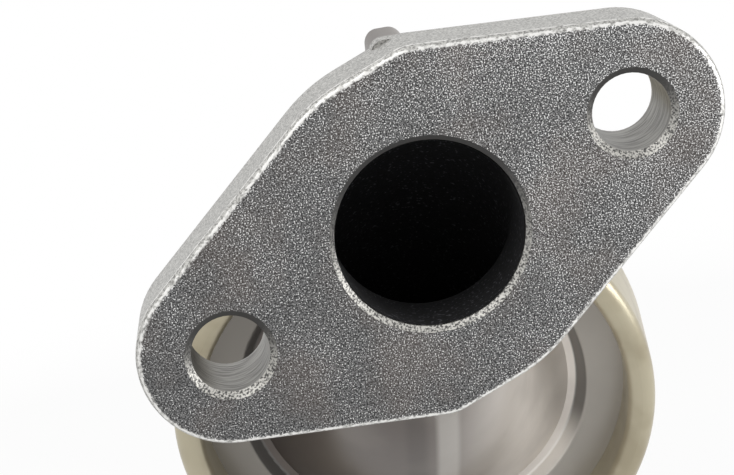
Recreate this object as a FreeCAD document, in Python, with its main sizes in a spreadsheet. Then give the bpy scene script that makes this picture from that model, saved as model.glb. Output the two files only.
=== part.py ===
"""Secondary air valve: a vacuum-operated shut-off valve with a check valve in its outlet.

The row frame has its origin at the centre of the outlet bore on the flange face.
+Y runs into the flange, +Z is up and +X is to the right, seen from the engine side.
The round pieces stand on the can axis. Their profiles give a radius from that axis and a
depth along it, where depth 0 is the crest of the rolled rim and depth grows to the rear.
"""

import FreeCAD, Part
import math
import os
import re

import Sketcher

Vector = FreeCAD.Vector

# Driving dimensions, in millimetres and degrees

SIZES = {
    # Engine flange
    "bolt_pitch": 52.0,
    "bolt_line_tilt": 21.6,
    "bolt_hole_r": 4.45,
    "bolt_hole_chamfer": 0.8,
    "bore_r": 10.75,
    "bore_chamfer": 0.65,
    "flange_depth": 10.7,
    "lobe_r": 10.65,
    "waist_r": 20.0,
    "shoulder_x": 6.7,
    "shoulder_r": 6.0,
    "edge_round": 1.0,
    "flange_draft": 3.6,
    # Where the can stands behind the flange
    "can_side": -1.6,
    "can_back": 45.0,
    "can_drop": 37.8,
    "can_pitch": 13.8,
    "can_swing": 6.5,
    # Outlet neck
    "neck_r": 14.0,
    "neck_flare_r": 21.6,
    "neck_sink": 2.0,
    "neck_start_pull": 30.0,
    "neck_end_pull": 50.0,
    "neck_lean": 0.4,
    "neck_end_r": 12.4,
    # Ribs
    "rib_width": 4.4,
    "rib_round": 1.6,
    "rib_sink": 0.6,
    "low_rib_side": 0.4,
    "low_rib_top": 19.4,
    "low_rib_reach": 23.0,
    "top_rib_side": -0.6,
    "top_rib_top": 20.8,
    "top_rib_flat": 5.0,
    "top_rib_end_back": 33.0,
    "top_rib_end_drop": 5.0,
    # Round base plate of the casting
    "plate_front": 6.3,
    "plate_thick": 5.0,
    "plate_clear": 0.2,
    "recess_r": 23.4,
    "recess_deep": 1.7,
    "recess_slope": 1.2,
    "boss_r": 19.0,
    "boss_high": 3.5,
    # Seat ring and check valve
    "chamber_r": 14.5,
    "cage_front": 5.0,
    "cage_thick": 1.6,
    "cage_hole_r": 3.6,
    "cage_hole_at": 8.6,
    "cage_hole_count": 6,
    "pin_r": 1.5,
    "pin_tip": 0.9,
    "seat_r": 16.0,
    "seat_hole_r": 11.5,
    "seat_thick": 3.0,
    "seat_lip": 0.6,
    "seat_land": 1.2,
    "check_r": 13.2,
    "check_thick": 0.8,
    "check_hub_r": 2.8,
    "check_travel": 2.5,
    "check_wire_r": 0.25,
    "check_coil_r": 3.6,
    "check_half_turns": 6.0,
    # Shut-off valve
    "seal_in_r": 10.6,
    "seal_r": 14.6,
    "seal_thick": 1.2,
    "disc_r": 14.2,
    "disc_thick": 1.5,
    "stem_r": 3.0,
    "stem_neck_r": 2.2,
    "rivet_r": 3.6,
    "rivet_high": 1.0,
    "collar_r": 5.0,
    "collar_high": 1.6,
    "valve_travel": 6.0,
    "running_gap": 0.05,
    # Can
    "rim_r": 32.0,
    "rim_crest": 1.85,
    "can_wall": 1.2,
    "gasket_thick": 0.8,
    "can_r": 28.0,
    "can_corner": 2.0,
    "bush_r": 5.5,
    "bush_flange_r": 7.5,
    "bush_flange": 1.5,
    "bush_back": 2.6,
    "stem_seal_r": 4.5,
    "stem_seal_thick": 1.4,
    # Hose spigot
    "spigot_r": 8.5,
    "spigot_wall": 1.2,
    "spigot_long": 30.0,
    "spigot_gap": 0.3,
    "bead_high": 0.9,
    "bead_long": 3.0,
    "bead_back": 5.0,
    "collar_wide": 1.8,
    # Vacuum actuator
    "base_taper": 4.5,
    "base_cup_long": 7.0,
    "clamp_wide": 4.5,
    "sheet_wall": 1.0,
    "vent_wide": 7.0,
    "vent_high": 2.6,
    "vent_count": 3,
    "rubber_thick": 1.0,
    "roll_in_r": 13.2,
    "roll_out_r": 19.0,
    "roll_clear": 0.3,
    "plate_inset": 1.0,
    "cup_rim": 2.4,
    "plate_gap": 3.6,
    "washer_r": 5.4,
    "washer_thick": 0.8,
    "nut_across": 8.0,
    "nut_high": 3.2,
    "stem_tail": 1.4,
    "cover_long": 16.0,
    "cover_round": 5.0,
    "lip_wide": 2.4,
    "hem_round": 0.9,
    "spring_side": 0.7,
    "spring_wire_r": 0.9,
    "spring_half_turns": 9.0,
    "spring_clear": 0.1,
    # Vacuum nipple
    "nipple_r": 2.5,
    "nipple_bore_r": 1.3,
    "nipple_long": 14.0,
    "nipple_foot_r": 4.6,
    "nipple_foot": 1.0,
    "barb_r": 3.2,
    "barb_long": 2.4,
    "barb_back": 3.0,
}

doc = FreeCAD.newDocument("secondary_air_valve")
sheet = doc.addObject("Spreadsheet::Sheet", "Sizes")


def fill_sheet():
    """Write each driving dimension as a plain number with its own alias."""
    for row, (name, number) in enumerate(SIZES.items(), start=1):
        sheet.set(f"A{row}", name)
        sheet.set(f"B{row}", str(number))
        sheet.setAlias(f"B{row}", name)
    doc.recompute()


def bound(text):
    """Point each name in an expression at its cell in the sheet."""
    return re.sub(r"\b(?!sin\b|cos\b)[a-z][a-z_]*", lambda word: "Sizes." + word.group(0), text)


def size(text):
    """Work out an expression of named sizes as a number."""
    return float(sheet.evalExpression(bound(text)))


fill_sheet()

# Depths along the can axis that several pieces share

PLATE_BACK = "plate_front + plate_thick"
SHOULDER = f"{PLATE_BACK} + gasket_thick"
SEAT_BACK = f"{PLATE_BACK} + boss_high"
SEAT_FRONT = f"{SEAT_BACK} - seat_thick"
RECESS = "plate_front + recess_deep"
CHECK_FRONT = f"{SEAT_FRONT} - check_thick"
CAGE_BACK = "cage_front + cage_thick"
CHECK_STOP = f"{CAGE_BACK} + check_travel"
DISC_FRONT = f"{SEAT_BACK} + seal_thick"
DISC_BACK = f"{DISC_FRONT} + disc_thick"
VALVE_STOP = f"{DISC_BACK} + collar_high + valve_travel"
COLLAR_R = "spigot_r + collar_wide"
SPIGOT_DEPTH = f"{SHOULDER} + can_wall + spigot_gap + {COLLAR_R}"
SPIGOT_END = "can_r + spigot_long"
CAN_BACK = f"{SPIGOT_DEPTH} + {COLLAR_R} + can_corner"
CAN_INNER_R = "can_r - can_wall"
RIM_INNER_R = "rim_r - 2 * rim_crest"
BASE_FLANGE = f"{CAN_BACK} + base_cup_long"
BASE_BACK = f"{BASE_FLANGE} + sheet_wall"
COVER_FRONT = f"{BASE_BACK} + rubber_thick"
COVER_BACK = f"{COVER_FRONT} + cover_long"
COVER_INSIDE = f"{COVER_BACK} - sheet_wall"
PLATE_FACE = f"{CAN_BACK} + sheet_wall + plate_gap"
PLATE_RUBBER = f"{PLATE_FACE} + sheet_wall"
CUP_FACE = f"{PLATE_RUBBER} + rubber_thick"
CUP_BACK = f"{CUP_FACE} + sheet_wall"
WASHER_BACK = f"{CUP_BACK} + washer_thick"
NUT_BACK = f"{WASHER_BACK} + nut_high"
BUSH_BACK = f"{CAN_BACK} + sheet_wall + bush_back"

# Radii in the actuator that follow from the diaphragm's roll

ROLL_INSIDE_R = "roll_in_r - rubber_thick / 2"
ROLL_OUTSIDE_R = "roll_out_r + rubber_thick / 2"
PLATE_R = "roll_in_r - plate_inset"
CUP_R = f"{ROLL_INSIDE_R} - roll_clear"
SPRING_R = f"{CUP_R} - sheet_wall - spring_side - spring_wire_r"
COVER_R = f"{ROLL_OUTSIDE_R} + roll_clear + sheet_wall"
BASE_CUP_R = f"{ROLL_OUTSIDE_R} + sheet_wall"
BASE_FLOOR_R = f"{BASE_CUP_R} - base_taper"
CLAMP_R = f"{BASE_CUP_R} + clamp_wide"
HEM_R = f"{CLAMP_R} + plate_clear + sheet_wall"


# Frames


def can_placement():
    """The frame of the can: its Z runs to the rear along the can axis, its Y points up."""
    upright = FreeCAD.Rotation(Vector(-1, 0, 0), Vector(0, 0, 1), Vector(0, 1, 0), "ZXY")
    pitch = FreeCAD.Rotation(Vector(1, 0, 0), size("can_pitch"))
    swing = FreeCAD.Rotation(Vector(0, 0, 1), -size("can_swing"))
    centre = Vector(size("can_side"), size("can_back"), -size("can_drop"))
    return FreeCAD.Placement(centre, swing.multiply(pitch).multiply(upright))


CAN = can_placement()
CAN_AXIS = CAN.Rotation.multVec(Vector(0, 0, 1))


# Sketch helpers


def origin_plane(body, role):
    """One of a body's own origin planes."""
    return next(item for item in body.Origin.OriginFeatures if item.Role == role)


def sketch_on(body, role, name):
    """A sketch attached to one of a body's origin planes."""
    sketch = body.newObject("Sketcher::SketchObject", name)
    sketch.AttachmentSupport = (origin_plane(body, role), [""])
    sketch.MapMode = "FlatFace"
    return sketch


def pin_point(sketch, element, spot, across, along):
    """Hold a sketch point at two expressions, or on an axis where one of them is 0."""
    for kind, text, axis in (("DistanceX", across, -2), ("DistanceY", along, -1)):
        if text == "0":
            sketch.addConstraint(Sketcher.Constraint("PointOnObject", element, spot, axis))
            continue
        index = sketch.addConstraint(Sketcher.Constraint(kind, -1, 1, element, spot, size(text)))
        sketch.setExpression(f"Constraints[{index}]", bound(text))


def arc_between(start, end, radius, side):
    """The short arc between two points, with its centre to the left (1) or right (-1)."""
    chord = end - start
    half = chord.Length / 2
    rise = math.sqrt(max(radius * radius - half * half, 0.0))
    left = Vector(-chord.y, chord.x, 0).normalize()
    centre = (start + end) * 0.5 + left * (rise * side)
    first, last = (start, end) if side > 0 else (end, start)
    turns = [math.atan2(point.y - centre.y, point.x - centre.x) for point in (first, last)]
    return Part.ArcOfCircle(Part.Circle(centre, Vector(0, 0, 1), radius), turns[0], turns[1])


def draw_profile(sketch, corners):
    """Draw a closed outline.

    A corner is (across, along), reached by a line, or (across, along, radius, side),
    reached by an arc. All of them are expressions, apart from the side.
    """
    points = [Vector(size(corner[0]), size(corner[1]), 0) for corner in corners]
    count = len(corners)
    starts = []
    ends = []
    for index in range(count):
        target = corners[(index + 1) % count]
        start, end = points[index], points[(index + 1) % count]
        if len(target) == 2:
            sketch.addGeometry(Part.LineSegment(start, end), False)
            starts.append(1)
            ends.append(2)
            continue
        sketch.addGeometry(arc_between(start, end, size(target[2]), target[3]), False)
        starts.append(1 if target[3] > 0 else 2)
        ends.append(2 if target[3] > 0 else 1)
    for index in range(count):
        after = (index + 1) % count
        sketch.addConstraint(Sketcher.Constraint("Coincident", index, ends[index], after, starts[after]))
    for index, corner in enumerate(corners):
        pin_point(sketch, index, starts[index], corner[0], corner[1])
        target = corners[(index + 1) % count]
        if len(target) == 4:
            held = sketch.addConstraint(Sketcher.Constraint("Radius", index, size(target[2])))
            sketch.setExpression(f"Constraints[{held}]", bound(target[2]))


def add_circle(sketch, across, along, radius):
    """A circle held by its centre and radius."""
    circle = Part.Circle(Vector(size(across), size(along), 0), Vector(0, 0, 1), size(radius))
    element = sketch.addGeometry(circle, False)
    pin_point(sketch, element, 3, across, along)
    held = sketch.addConstraint(Sketcher.Constraint("Radius", element, size(radius)))
    sketch.setExpression(f"Constraints[{held}]", bound(radius))
    return element


# Feature helpers


def new_body(label):
    """An empty body with its own label."""
    body = doc.addObject("PartDesign::Body", label)
    body.Label = label
    return body


def spin(body, kind, corners, name):
    """Turn a profile about the body's Z axis, as added or removed material."""
    sketch = sketch_on(body, "XZ_Plane", name + "_profile")
    draw_profile(sketch, corners)
    feature = body.newObject(kind, name)
    feature.Profile = sketch
    feature.ReferenceAxis = (sketch, ["V_Axis"])
    feature.Angle = 360
    doc.recompute()
    return feature


def circle_edges(feature, spots):
    """The names of the feature's full circles on its Z axis at each (radius, depth)."""
    wanted = [(size(radius), size(depth)) for radius, depth in spots]
    names = []
    for index, edge in enumerate(feature.Shape.Edges, start=1):
        curve = edge.Curve
        if not isinstance(curve, Part.Circle):
            continue
        for radius, depth in wanted:
            if abs(curve.Radius - radius) < 1e-4 and abs(curve.Center.z - depth) < 1e-4:
                names.append(f"Edge{index}")
    return names


def dress(body, kind, feature, names, width, name):
    """Round or chamfer some edges of a feature by a named width."""
    dressed = body.newObject(kind, name)
    dressed.Base = (feature, names)
    prop = "Radius" if kind == "PartDesign::Fillet" else "Size"
    dressed.setExpression(prop, bound(width))
    doc.recompute()
    return dressed


def turned(label, corners, rounds=(), place=CAN):
    """A turned or spun piece on the can axis, with some of its circular edges rounded.

    Each round is (radius, [(radius of the edge, depth of the edge), ...]).
    """
    body = new_body(label)
    feature = spin(body, "PartDesign::Revolution", corners, label + "_turn")
    for index, (radius, spots) in enumerate(rounds):
        names = circle_edges(feature, spots)
        feature = dress(body, "PartDesign::Fillet", feature, names, radius, f"{label}_round_{index}")
    body.Placement = place
    return body


def pad(body, sketch, length, name, backwards=False, both=False):
    """Pad a sketch by an expression."""
    feature = body.newObject("PartDesign::Pad", name)
    feature.Profile = sketch
    feature.setExpression("Length", bound(length))
    feature.Reversed = backwards
    feature.Midplane = both
    doc.recompute()
    return feature


def pocket_all(body, sketch, name, both=True):
    """Cut a sketch through the whole body."""
    feature = body.newObject("PartDesign::Pocket", name)
    feature.Profile = sketch
    feature.Type = "ThroughAll"
    feature.Midplane = both
    doc.recompute()
    return feature


def polar(body, feature, count, name):
    """Repeat a feature about the body's Z axis."""
    pattern = body.newObject("PartDesign::PolarPattern", name)
    pattern.Originals = [feature]
    pattern.Axis = (next(item for item in body.Origin.OriginFeatures if item.Role == "Z_Axis"), [""])
    pattern.Angle = 360
    pattern.Occurrences = int(size(count))
    body.Tip = pattern
    doc.recompute()
    return pattern


def shaped(label, shape, place=None):
    """A free shape as an object of the document."""
    feature = doc.addObject("Part::Feature", label)
    feature.Label = label
    feature.Shape = shape
    if place is not None:
        feature.Placement = place
    return feature


def fused(label, pieces):
    """Several objects as one solid."""
    union = doc.addObject("Part::MultiFuse", label)
    union.Shapes = pieces
    doc.recompute()
    return union


def cut(label, base, tool):
    """One object less another."""
    result = doc.addObject("Part::Cut", label)
    result.Label = label
    result.Base = base
    result.Tool = tool
    doc.recompute()
    return result


# Casting: flange, neck, ribs and base plate


def tangent_points(centre_a, radius_a, centre_b, radius_b):
    """Where the upper outer tangent of two circles touches each of them."""
    link = centre_b - centre_a
    lean = math.asin((radius_a - radius_b) / link.Length)
    normal = math.atan2(link.y, link.x) + math.pi / 2 - lean
    way = Vector(math.cos(normal), math.sin(normal), 0)
    return centre_a + way * radius_a, centre_b + way * radius_b


def flange_outline(sketch):
    """The flange's outline: two lobes, a round waist and one soft shoulder on each side.

    It looks the same when it is turned by half a turn about the bore.
    """
    lobe_r, waist_r, corner_r = size("lobe_r"), size("waist_r"), size("shoulder_r")
    lobe = Vector(size("bolt_pitch / 2"), 0, 0)
    middle = Vector(0, 0, 0)
    corner = Vector(size("shoulder_x"), waist_r - corner_r, 0)
    lobe_far, waist_end = tangent_points(lobe * -1, lobe_r, middle, waist_r)
    corner_end, lobe_near = tangent_points(corner, corner_r, lobe, lobe_r)
    waist_top = Vector(0, waist_r, 0)
    corner_top = Vector(corner.x, waist_r, 0)
    for sign in (1, -1):
        add_arc(sketch, lobe * sign, lobe_r, lobe_far * -sign, lobe_near * sign)
        add_line(sketch, lobe_near * sign, corner_end * sign)
        add_arc(sketch, corner * sign, corner_r, corner_end * sign, corner_top * sign)
        add_line(sketch, corner_top * sign, waist_top * sign)
        add_arc(sketch, middle, waist_r, waist_top * sign, waist_end * sign)
        add_line(sketch, waist_end * sign, lobe_far * sign)
    for element in range(12):
        sketch.addConstraint(Sketcher.Constraint("Tangent", element, 2, (element + 1) % 12, 1))
    for first, sign in ((0, 1), (6, -1)):
        hold_flange_side(sketch, first, sign)


def add_line(sketch, start, end):
    """A straight stretch of an outline."""
    sketch.addGeometry(Part.LineSegment(start, end), False)


def add_arc(sketch, centre, radius, start, end):
    """An arc of an outline, counter-clockwise from start to end."""
    turns = [math.atan2(point.y - centre.y, point.x - centre.x) for point in (start, end)]
    circle = Part.Circle(centre, Vector(0, 0, 1), radius)
    sketch.addGeometry(Part.ArcOfCircle(circle, turns[0], turns[1]), False)


def hold_flange_side(sketch, first, sign):
    """Bind one half of the outline to the named sizes. Its lobe, shoulder and waist are arcs."""
    lobe, shoulder, top, waist = first, first + 2, first + 3, first + 4
    for element, radius in ((lobe, "lobe_r"), (shoulder, "shoulder_r"), (waist, "waist_r")):
        held = sketch.addConstraint(Sketcher.Constraint("Radius", element, size(radius)))
        sketch.setExpression(f"Constraints[{held}]", bound(radius))
    sketch.addConstraint(Sketcher.Constraint("Coincident", waist, 3, -1, 1))
    sketch.addConstraint(Sketcher.Constraint("PointOnObject", lobe, 3, -1))
    sketch.addConstraint(Sketcher.Constraint("Horizontal", top))
    for element, text in ((shoulder, "shoulder_x"), (lobe, "bolt_pitch / 2")):
        signed = text if sign > 0 else f"-({text})"
        held = sketch.addConstraint(
            Sketcher.Constraint("DistanceX", -1, 1, element, 3, size(signed))
        )
        sketch.setExpression(f"Constraints[{held}]", bound(signed))


def front_edges(feature, test):
    """The names of the feature's edges that lie in the flange face and pass a test."""
    names = []
    for index, edge in enumerate(feature.Shape.Edges, start=1):
        box = edge.BoundBox
        if max(abs(box.YMin), abs(box.YMax)) < 1e-6 and test(edge):
            names.append(f"Edge{index}")
    return names


def is_hole(edge, radius):
    """Whether an edge is a full circle of this radius."""
    return isinstance(edge.Curve, Part.Circle) and edge.isClosed() and abs(edge.Curve.Radius - radius) < 1e-4


def engine_flange():
    """The flange with its bore and its two bolt holes, all with broken front edges."""
    body = new_body("engine_flange")
    sketch = sketch_on(body, "XZ_Plane", "flange_outline")
    sketch.AttachmentOffset = FreeCAD.Placement(
        Vector(), FreeCAD.Rotation(Vector(0, 0, 1), size("bolt_line_tilt"))
    )
    flange_outline(sketch)
    plain = pad(body, sketch, "flange_depth", "flange_pad", backwards=True)
    plain.setExpression("TaperAngle", bound("-flange_draft"))
    doc.recompute()
    names = front_edges(plain, lambda edge: True)
    rounded = dress(body, "PartDesign::Fillet", plain, names, "edge_round", "flange_edge")
    holes = sketch_on(body, "XZ_Plane", "flange_holes")
    holes.AttachmentOffset = sketch.AttachmentOffset
    add_circle(holes, "0", "0", "bore_r")
    add_circle(holes, "bolt_pitch / 2", "0", "bolt_hole_r")
    add_circle(holes, "-bolt_pitch / 2", "0", "bolt_hole_r")
    drilled = pocket_all(body, holes, "flange_drilling")
    bore_r, hole_r = size("bore_r"), size("bolt_hole_r")
    names = front_edges(drilled, lambda edge: is_hole(edge, bore_r))
    step = dress(body, "PartDesign::Chamfer", drilled, names, "bore_chamfer", "bore_edge")
    names = front_edges(step, lambda edge: is_hole(edge, hole_r))
    dress(body, "PartDesign::Chamfer", step, names, "bolt_hole_chamfer", "bolt_hole_edges")
    return body


def base_plate():
    """The casting's round plate with its stepped recess and the boss for the seat ring."""
    return turned(
        "base_plate",
        [
            ("0", RECESS),
            ("recess_r - recess_slope", RECESS),
            ("recess_r", "plate_front"),
            ("rim_r - can_wall - plate_clear", "plate_front"),
            ("rim_r - can_wall - plate_clear", PLATE_BACK),
            ("boss_r", PLATE_BACK),
            ("boss_r", SEAT_BACK),
            ("0", SEAT_BACK),
        ],
        [("recess_deep / 3", [("recess_r - recess_slope", RECESS), ("recess_r", "plate_front")])],
    )


def neck_point(share, end_depth):
    """A point and a direction on the neck's centre line.

    It is a cubic with given ends, which leaves the flange along +Y and meets the plate
    along the can axis. The share runs from 0 at the flange to 1 at the plate.
    """
    start = Vector(0, size("flange_depth - neck_sink"), 0)
    end = CAN.Base + CAN_AXIS * end_depth
    pull_start = Vector(0, 1, 0) * size("neck_start_pull")
    pull_end = CAN_AXIS * size("neck_end_pull")
    rest = 1 - share
    point = (
        start * (rest * rest * (1 + 2 * share))
        + end * (share * share * (3 - 2 * share))
        + pull_start * (share * rest * rest)
        - pull_end * (share * share * rest)
    )
    way = (
        (end - start) * (6 * share * rest)
        + pull_start * (rest * (1 - 3 * share))
        + pull_end * (share * (3 * share - 2))
    )
    return point, way.normalize()


NECK_SECTIONS = 9


def neck_facing(share, way):
    """The direction a section faces.

    It turns from +Y to the can axis, and leans to the centre line's own way in between.
    The lean is kept small, so that sections don't cross on the inside of the bend.
    """
    lean = size("neck_lean") * math.sin(math.pi * share)
    plain = Vector(0, 1, 0) * (1 - share) + CAN_AXIS * share
    return (plain * (1 - lean) + way * lean).normalize()


def neck_tube(label, radius_at):
    """A round tube along the neck's centre line, through sections of the given radius."""
    end_depth = size(f"{RECESS} + rib_sink")
    wires = []
    for index in range(NECK_SECTIONS):
        share = index / (NECK_SECTIONS - 1)
        point, way = neck_point(share, end_depth)
        circle = Part.Circle(point, neck_facing(share, way), radius_at(share))
        wires.append(Part.Wire([circle.toShape()]))
    return shaped(label, Part.makeLoft(wires, True, False))


def neck_outer_r(share):
    """The neck's outer radius: straight for half its length, then a cubic flare."""
    late = max(0.0, 2 * share - 1)
    return size("neck_r") + size("neck_flare_r - neck_r") * late ** 3


def neck_inner_r(share):
    """The passage's radius, from the bore to the check valve's chamber."""
    return size("bore_r") + size("neck_end_r - bore_r") * share


def ridge_edges(feature, corners):
    """The names of the rib's long edges whose ends both lie on the given outline corners."""
    spots = [Vector(0, size(back), size(high)) for back, high in corners]
    names = []
    for index, edge in enumerate(feature.Shape.Edges, start=1):
        ends = [Vector(0, vertex.Point.y, vertex.Point.z) for vertex in edge.Vertexes]
        found = [min(end.distanceToPoint(spot) for spot in spots) < 1e-4 for end in ends]
        if all(found) and edge.BoundBox.XLength < 1e-6:
            names.append(f"Edge{index}")
    return names


def rib(label, side, corners, ridge):
    """An upright rib under or over the neck, beside the bore's axis by a named distance.

    The ridge gives the first and the last outline corner of its rounded outer edge.
    """
    body = new_body(label)
    sketch = sketch_on(body, "YZ_Plane", label + "_outline")
    draw_profile(sketch, corners)
    plain = pad(body, sketch, "rib_width", label + "_pad", both=True)
    names = ridge_edges(plain, corners[ridge[0]:ridge[1] + 1])
    dress(body, "PartDesign::Fillet", plain, names, "rib_round", label + "_ridge")
    body.Placement = FreeCAD.Placement(Vector(size(side), 0, 0), FreeCAD.Rotation())
    return body


def can_corner(radius, depth):
    """The back and height of a point of the can's symmetry plane, as expressions."""
    back = f"can_back + {radius} * sin(can_pitch) + ({depth}) * cos(can_pitch)"
    high = f"-can_drop - {radius} * cos(can_pitch) + ({depth}) * sin(can_pitch)"
    return back, high


def rib_low():
    """The rib under the neck, from the flange's back to the plate's recess."""
    inside = "flange_depth - neck_sink"
    return rib(
        "rib_low",
        "low_rib_side",
        [
            (inside, "-bore_r"),
            (inside, "-low_rib_top"),
            can_corner("low_rib_reach", f"{RECESS} + rib_sink"),
            can_corner("low_rib_reach / 2", f"{RECESS} + rib_sink"),
        ],
        (1, 2),
    )


def rib_top():
    """The rib on the neck's heel, which stands a little above the flange's edge."""
    inside = "flange_depth - neck_sink"
    return rib(
        "rib_top",
        "top_rib_side",
        [
            (inside, "0"),
            (inside, "top_rib_top"),
            ("flange_depth + top_rib_flat", "top_rib_top"),
            ("top_rib_end_back", "-top_rib_end_drop"),
            ("top_rib_end_back", "-top_rib_end_drop - neck_r / 2"),
        ],
        (1, 3),
    )


def chamber():
    """The room that is cut from the plate for the cage, the check plate and the seat ring."""
    return turned(
        "chamber",
        [
            ("0", "cage_front"),
            ("chamber_r", "cage_front"),
            ("chamber_r", SEAT_FRONT),
            ("seat_r", SEAT_FRONT),
            ("seat_r", f"{SEAT_BACK} + boss_high"),
            ("0", f"{SEAT_BACK} + boss_high"),
        ],
    )


def outlet_body():
    """The casting: flange, neck, ribs and plate in one piece, with its passage cut."""
    neck = neck_tube("neck", neck_outer_r)
    solid = fused("casting", [engine_flange(), base_plate(), neck, rib_low(), rib_top()])
    passage = neck_tube("passage", neck_inner_r)
    bored = cut("bored_casting", solid, passage)
    return cut("outlet_body", bored, chamber())


# Seat ring and check valve


def valve_seat_ring():
    """The steel ring pressed into the plate. Its rear land meets the valve's seal."""
    return turned(
        "valve_seat_ring",
        [
            ("seat_hole_r", SEAT_FRONT),
            ("seat_r", SEAT_FRONT),
            ("seat_r", f"{SEAT_BACK} - seat_lip"),
            ("seat_hole_r + 2 * seat_land", f"{SEAT_BACK} - seat_lip"),
            ("seat_hole_r + seat_land", SEAT_BACK),
            ("seat_hole_r", SEAT_BACK),
        ],
    )


def check_cage():
    """The pierced cage plate with the pin that guides the check plate."""
    body = new_body("check_cage")
    spin(
        body,
        "PartDesign::Revolution",
        [
            ("0", "cage_front"),
            ("chamber_r", "cage_front"),
            ("chamber_r", CAGE_BACK),
            ("pin_r", CAGE_BACK),
            ("pin_r", f"{SEAT_FRONT} + pin_tip"),
            ("0", f"{SEAT_FRONT} + pin_tip"),
        ],
        "cage_turn",
    )
    sketch = sketch_on(body, "XY_Plane", "cage_hole")
    add_circle(sketch, "cage_hole_at", "0", "cage_hole_r")
    hole = pocket_all(body, sketch, "cage_window")
    polar(body, hole, "cage_hole_count", "cage_windows")
    body.Placement = CAN
    return body


def check_plate():
    """The light plate that lets air out to the engine and holds exhaust gas back.

    Its hub meets the cage at full lift.
    """
    bore = "pin_r + running_gap"
    return turned(
        "check_plate",
        [
            (bore, CHECK_STOP),
            ("check_hub_r", CHECK_STOP),
            ("check_hub_r", CHECK_FRONT),
            ("check_r", CHECK_FRONT),
            ("check_r", SEAT_FRONT),
            (bore, SEAT_FRONT),
        ],
    )


def coil_spring(label, start, end, coil_r, wire_r, half_turns):
    """A round-wire spring between two depths on the can axis.

    It is a chain of half rings. Each one leans by the same small angle, so that it rises by
    half a pitch, and its two ends face along Y, where it meets its neighbours.
    """
    count = int(size(half_turns))
    rise = f"((({end}) - ({start}) - 2 * {wire_r} - 2 * spring_clear) / {half_turns})"
    ring_r = f"((({coil_r})^2 + {rise}^2 / 4)^0.5)"
    lean = math.degrees(math.atan2(size(rise) / 2, size(coil_r)))
    first = size(f"{start} + {wire_r} + spring_clear")
    pieces = []
    for index in range(count):
        half = doc.addObject("Part::Torus", f"{label}_half_{index}")
        half.setExpression("Radius1", bound(ring_r))
        half.setExpression("Radius2", bound(wire_r))
        half.Angle3 = 180
        flip = FreeCAD.Rotation(Vector(0, 0, 1), 180 * (index % 2))
        tilt = FreeCAD.Rotation(Vector(0, 1, 0), lean)
        middle = Vector(0, 0, first + size(rise) * (index + 0.5))
        half.Placement = CAN.multiply(FreeCAD.Placement(middle, flip.multiply(tilt)))
        pieces.append(half)
    return fused(label, pieces)


# Shut-off valve


def valve_disc():
    """The steel disc that closes the seat."""
    return turned(
        "valve_disc",
        [
            ("stem_neck_r", DISC_FRONT),
            ("disc_r", DISC_FRONT),
            ("disc_r", DISC_BACK),
            ("stem_neck_r", DISC_BACK),
        ],
    )


def valve_seal():
    """The rubber ring bonded to the disc's front face."""
    return turned(
        "valve_seal",
        [
            ("seal_in_r", SEAT_BACK),
            ("seal_r", SEAT_BACK),
            ("seal_r", DISC_FRONT),
            ("seal_in_r", DISC_FRONT),
        ],
    )


def valve_stem():
    """The stem: riveted to the disc in front, and necked for the diaphragm plates behind."""
    return turned(
        "valve_stem",
        [
            ("0", f"{DISC_FRONT} - rivet_high"),
            ("rivet_r", f"{DISC_FRONT} - rivet_high"),
            ("rivet_r", DISC_FRONT),
            ("stem_neck_r", DISC_FRONT),
            ("stem_neck_r", DISC_BACK),
            ("collar_r", DISC_BACK),
            ("collar_r", f"{DISC_BACK} + collar_high"),
            ("stem_r", f"{DISC_BACK} + collar_high"),
            ("stem_r", PLATE_FACE),
            ("stem_neck_r", PLATE_FACE),
            ("stem_neck_r", f"{NUT_BACK} + stem_tail"),
            ("0", f"{NUT_BACK} + stem_tail"),
        ],
    )


def ring(label, inner, outer, front, back):
    """A plain round ring."""
    return turned(label, [(inner, front), (outer, front), (outer, back), (inner, back)])


def stem_nut():
    """The hexagon nut behind the diaphragm plates."""
    prism = doc.addObject("Part::Prism", "nut_blank")
    prism.Polygon = 6
    prism.setExpression("Circumradius", bound("nut_across / 2 / cos(30)"))
    prism.setExpression("Height", bound("nut_high"))
    hole = doc.addObject("Part::Cylinder", "nut_hole")
    hole.setExpression("Radius", bound("stem_neck_r"))
    hole.setExpression("Height", bound("nut_high"))
    nut = cut("stem_nut", prism, hole)
    lift = FreeCAD.Placement(Vector(0, 0, size(WASHER_BACK)), FreeCAD.Rotation())
    nut.Placement = CAN.multiply(lift)
    return nut


# Can and hose spigot


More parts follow.
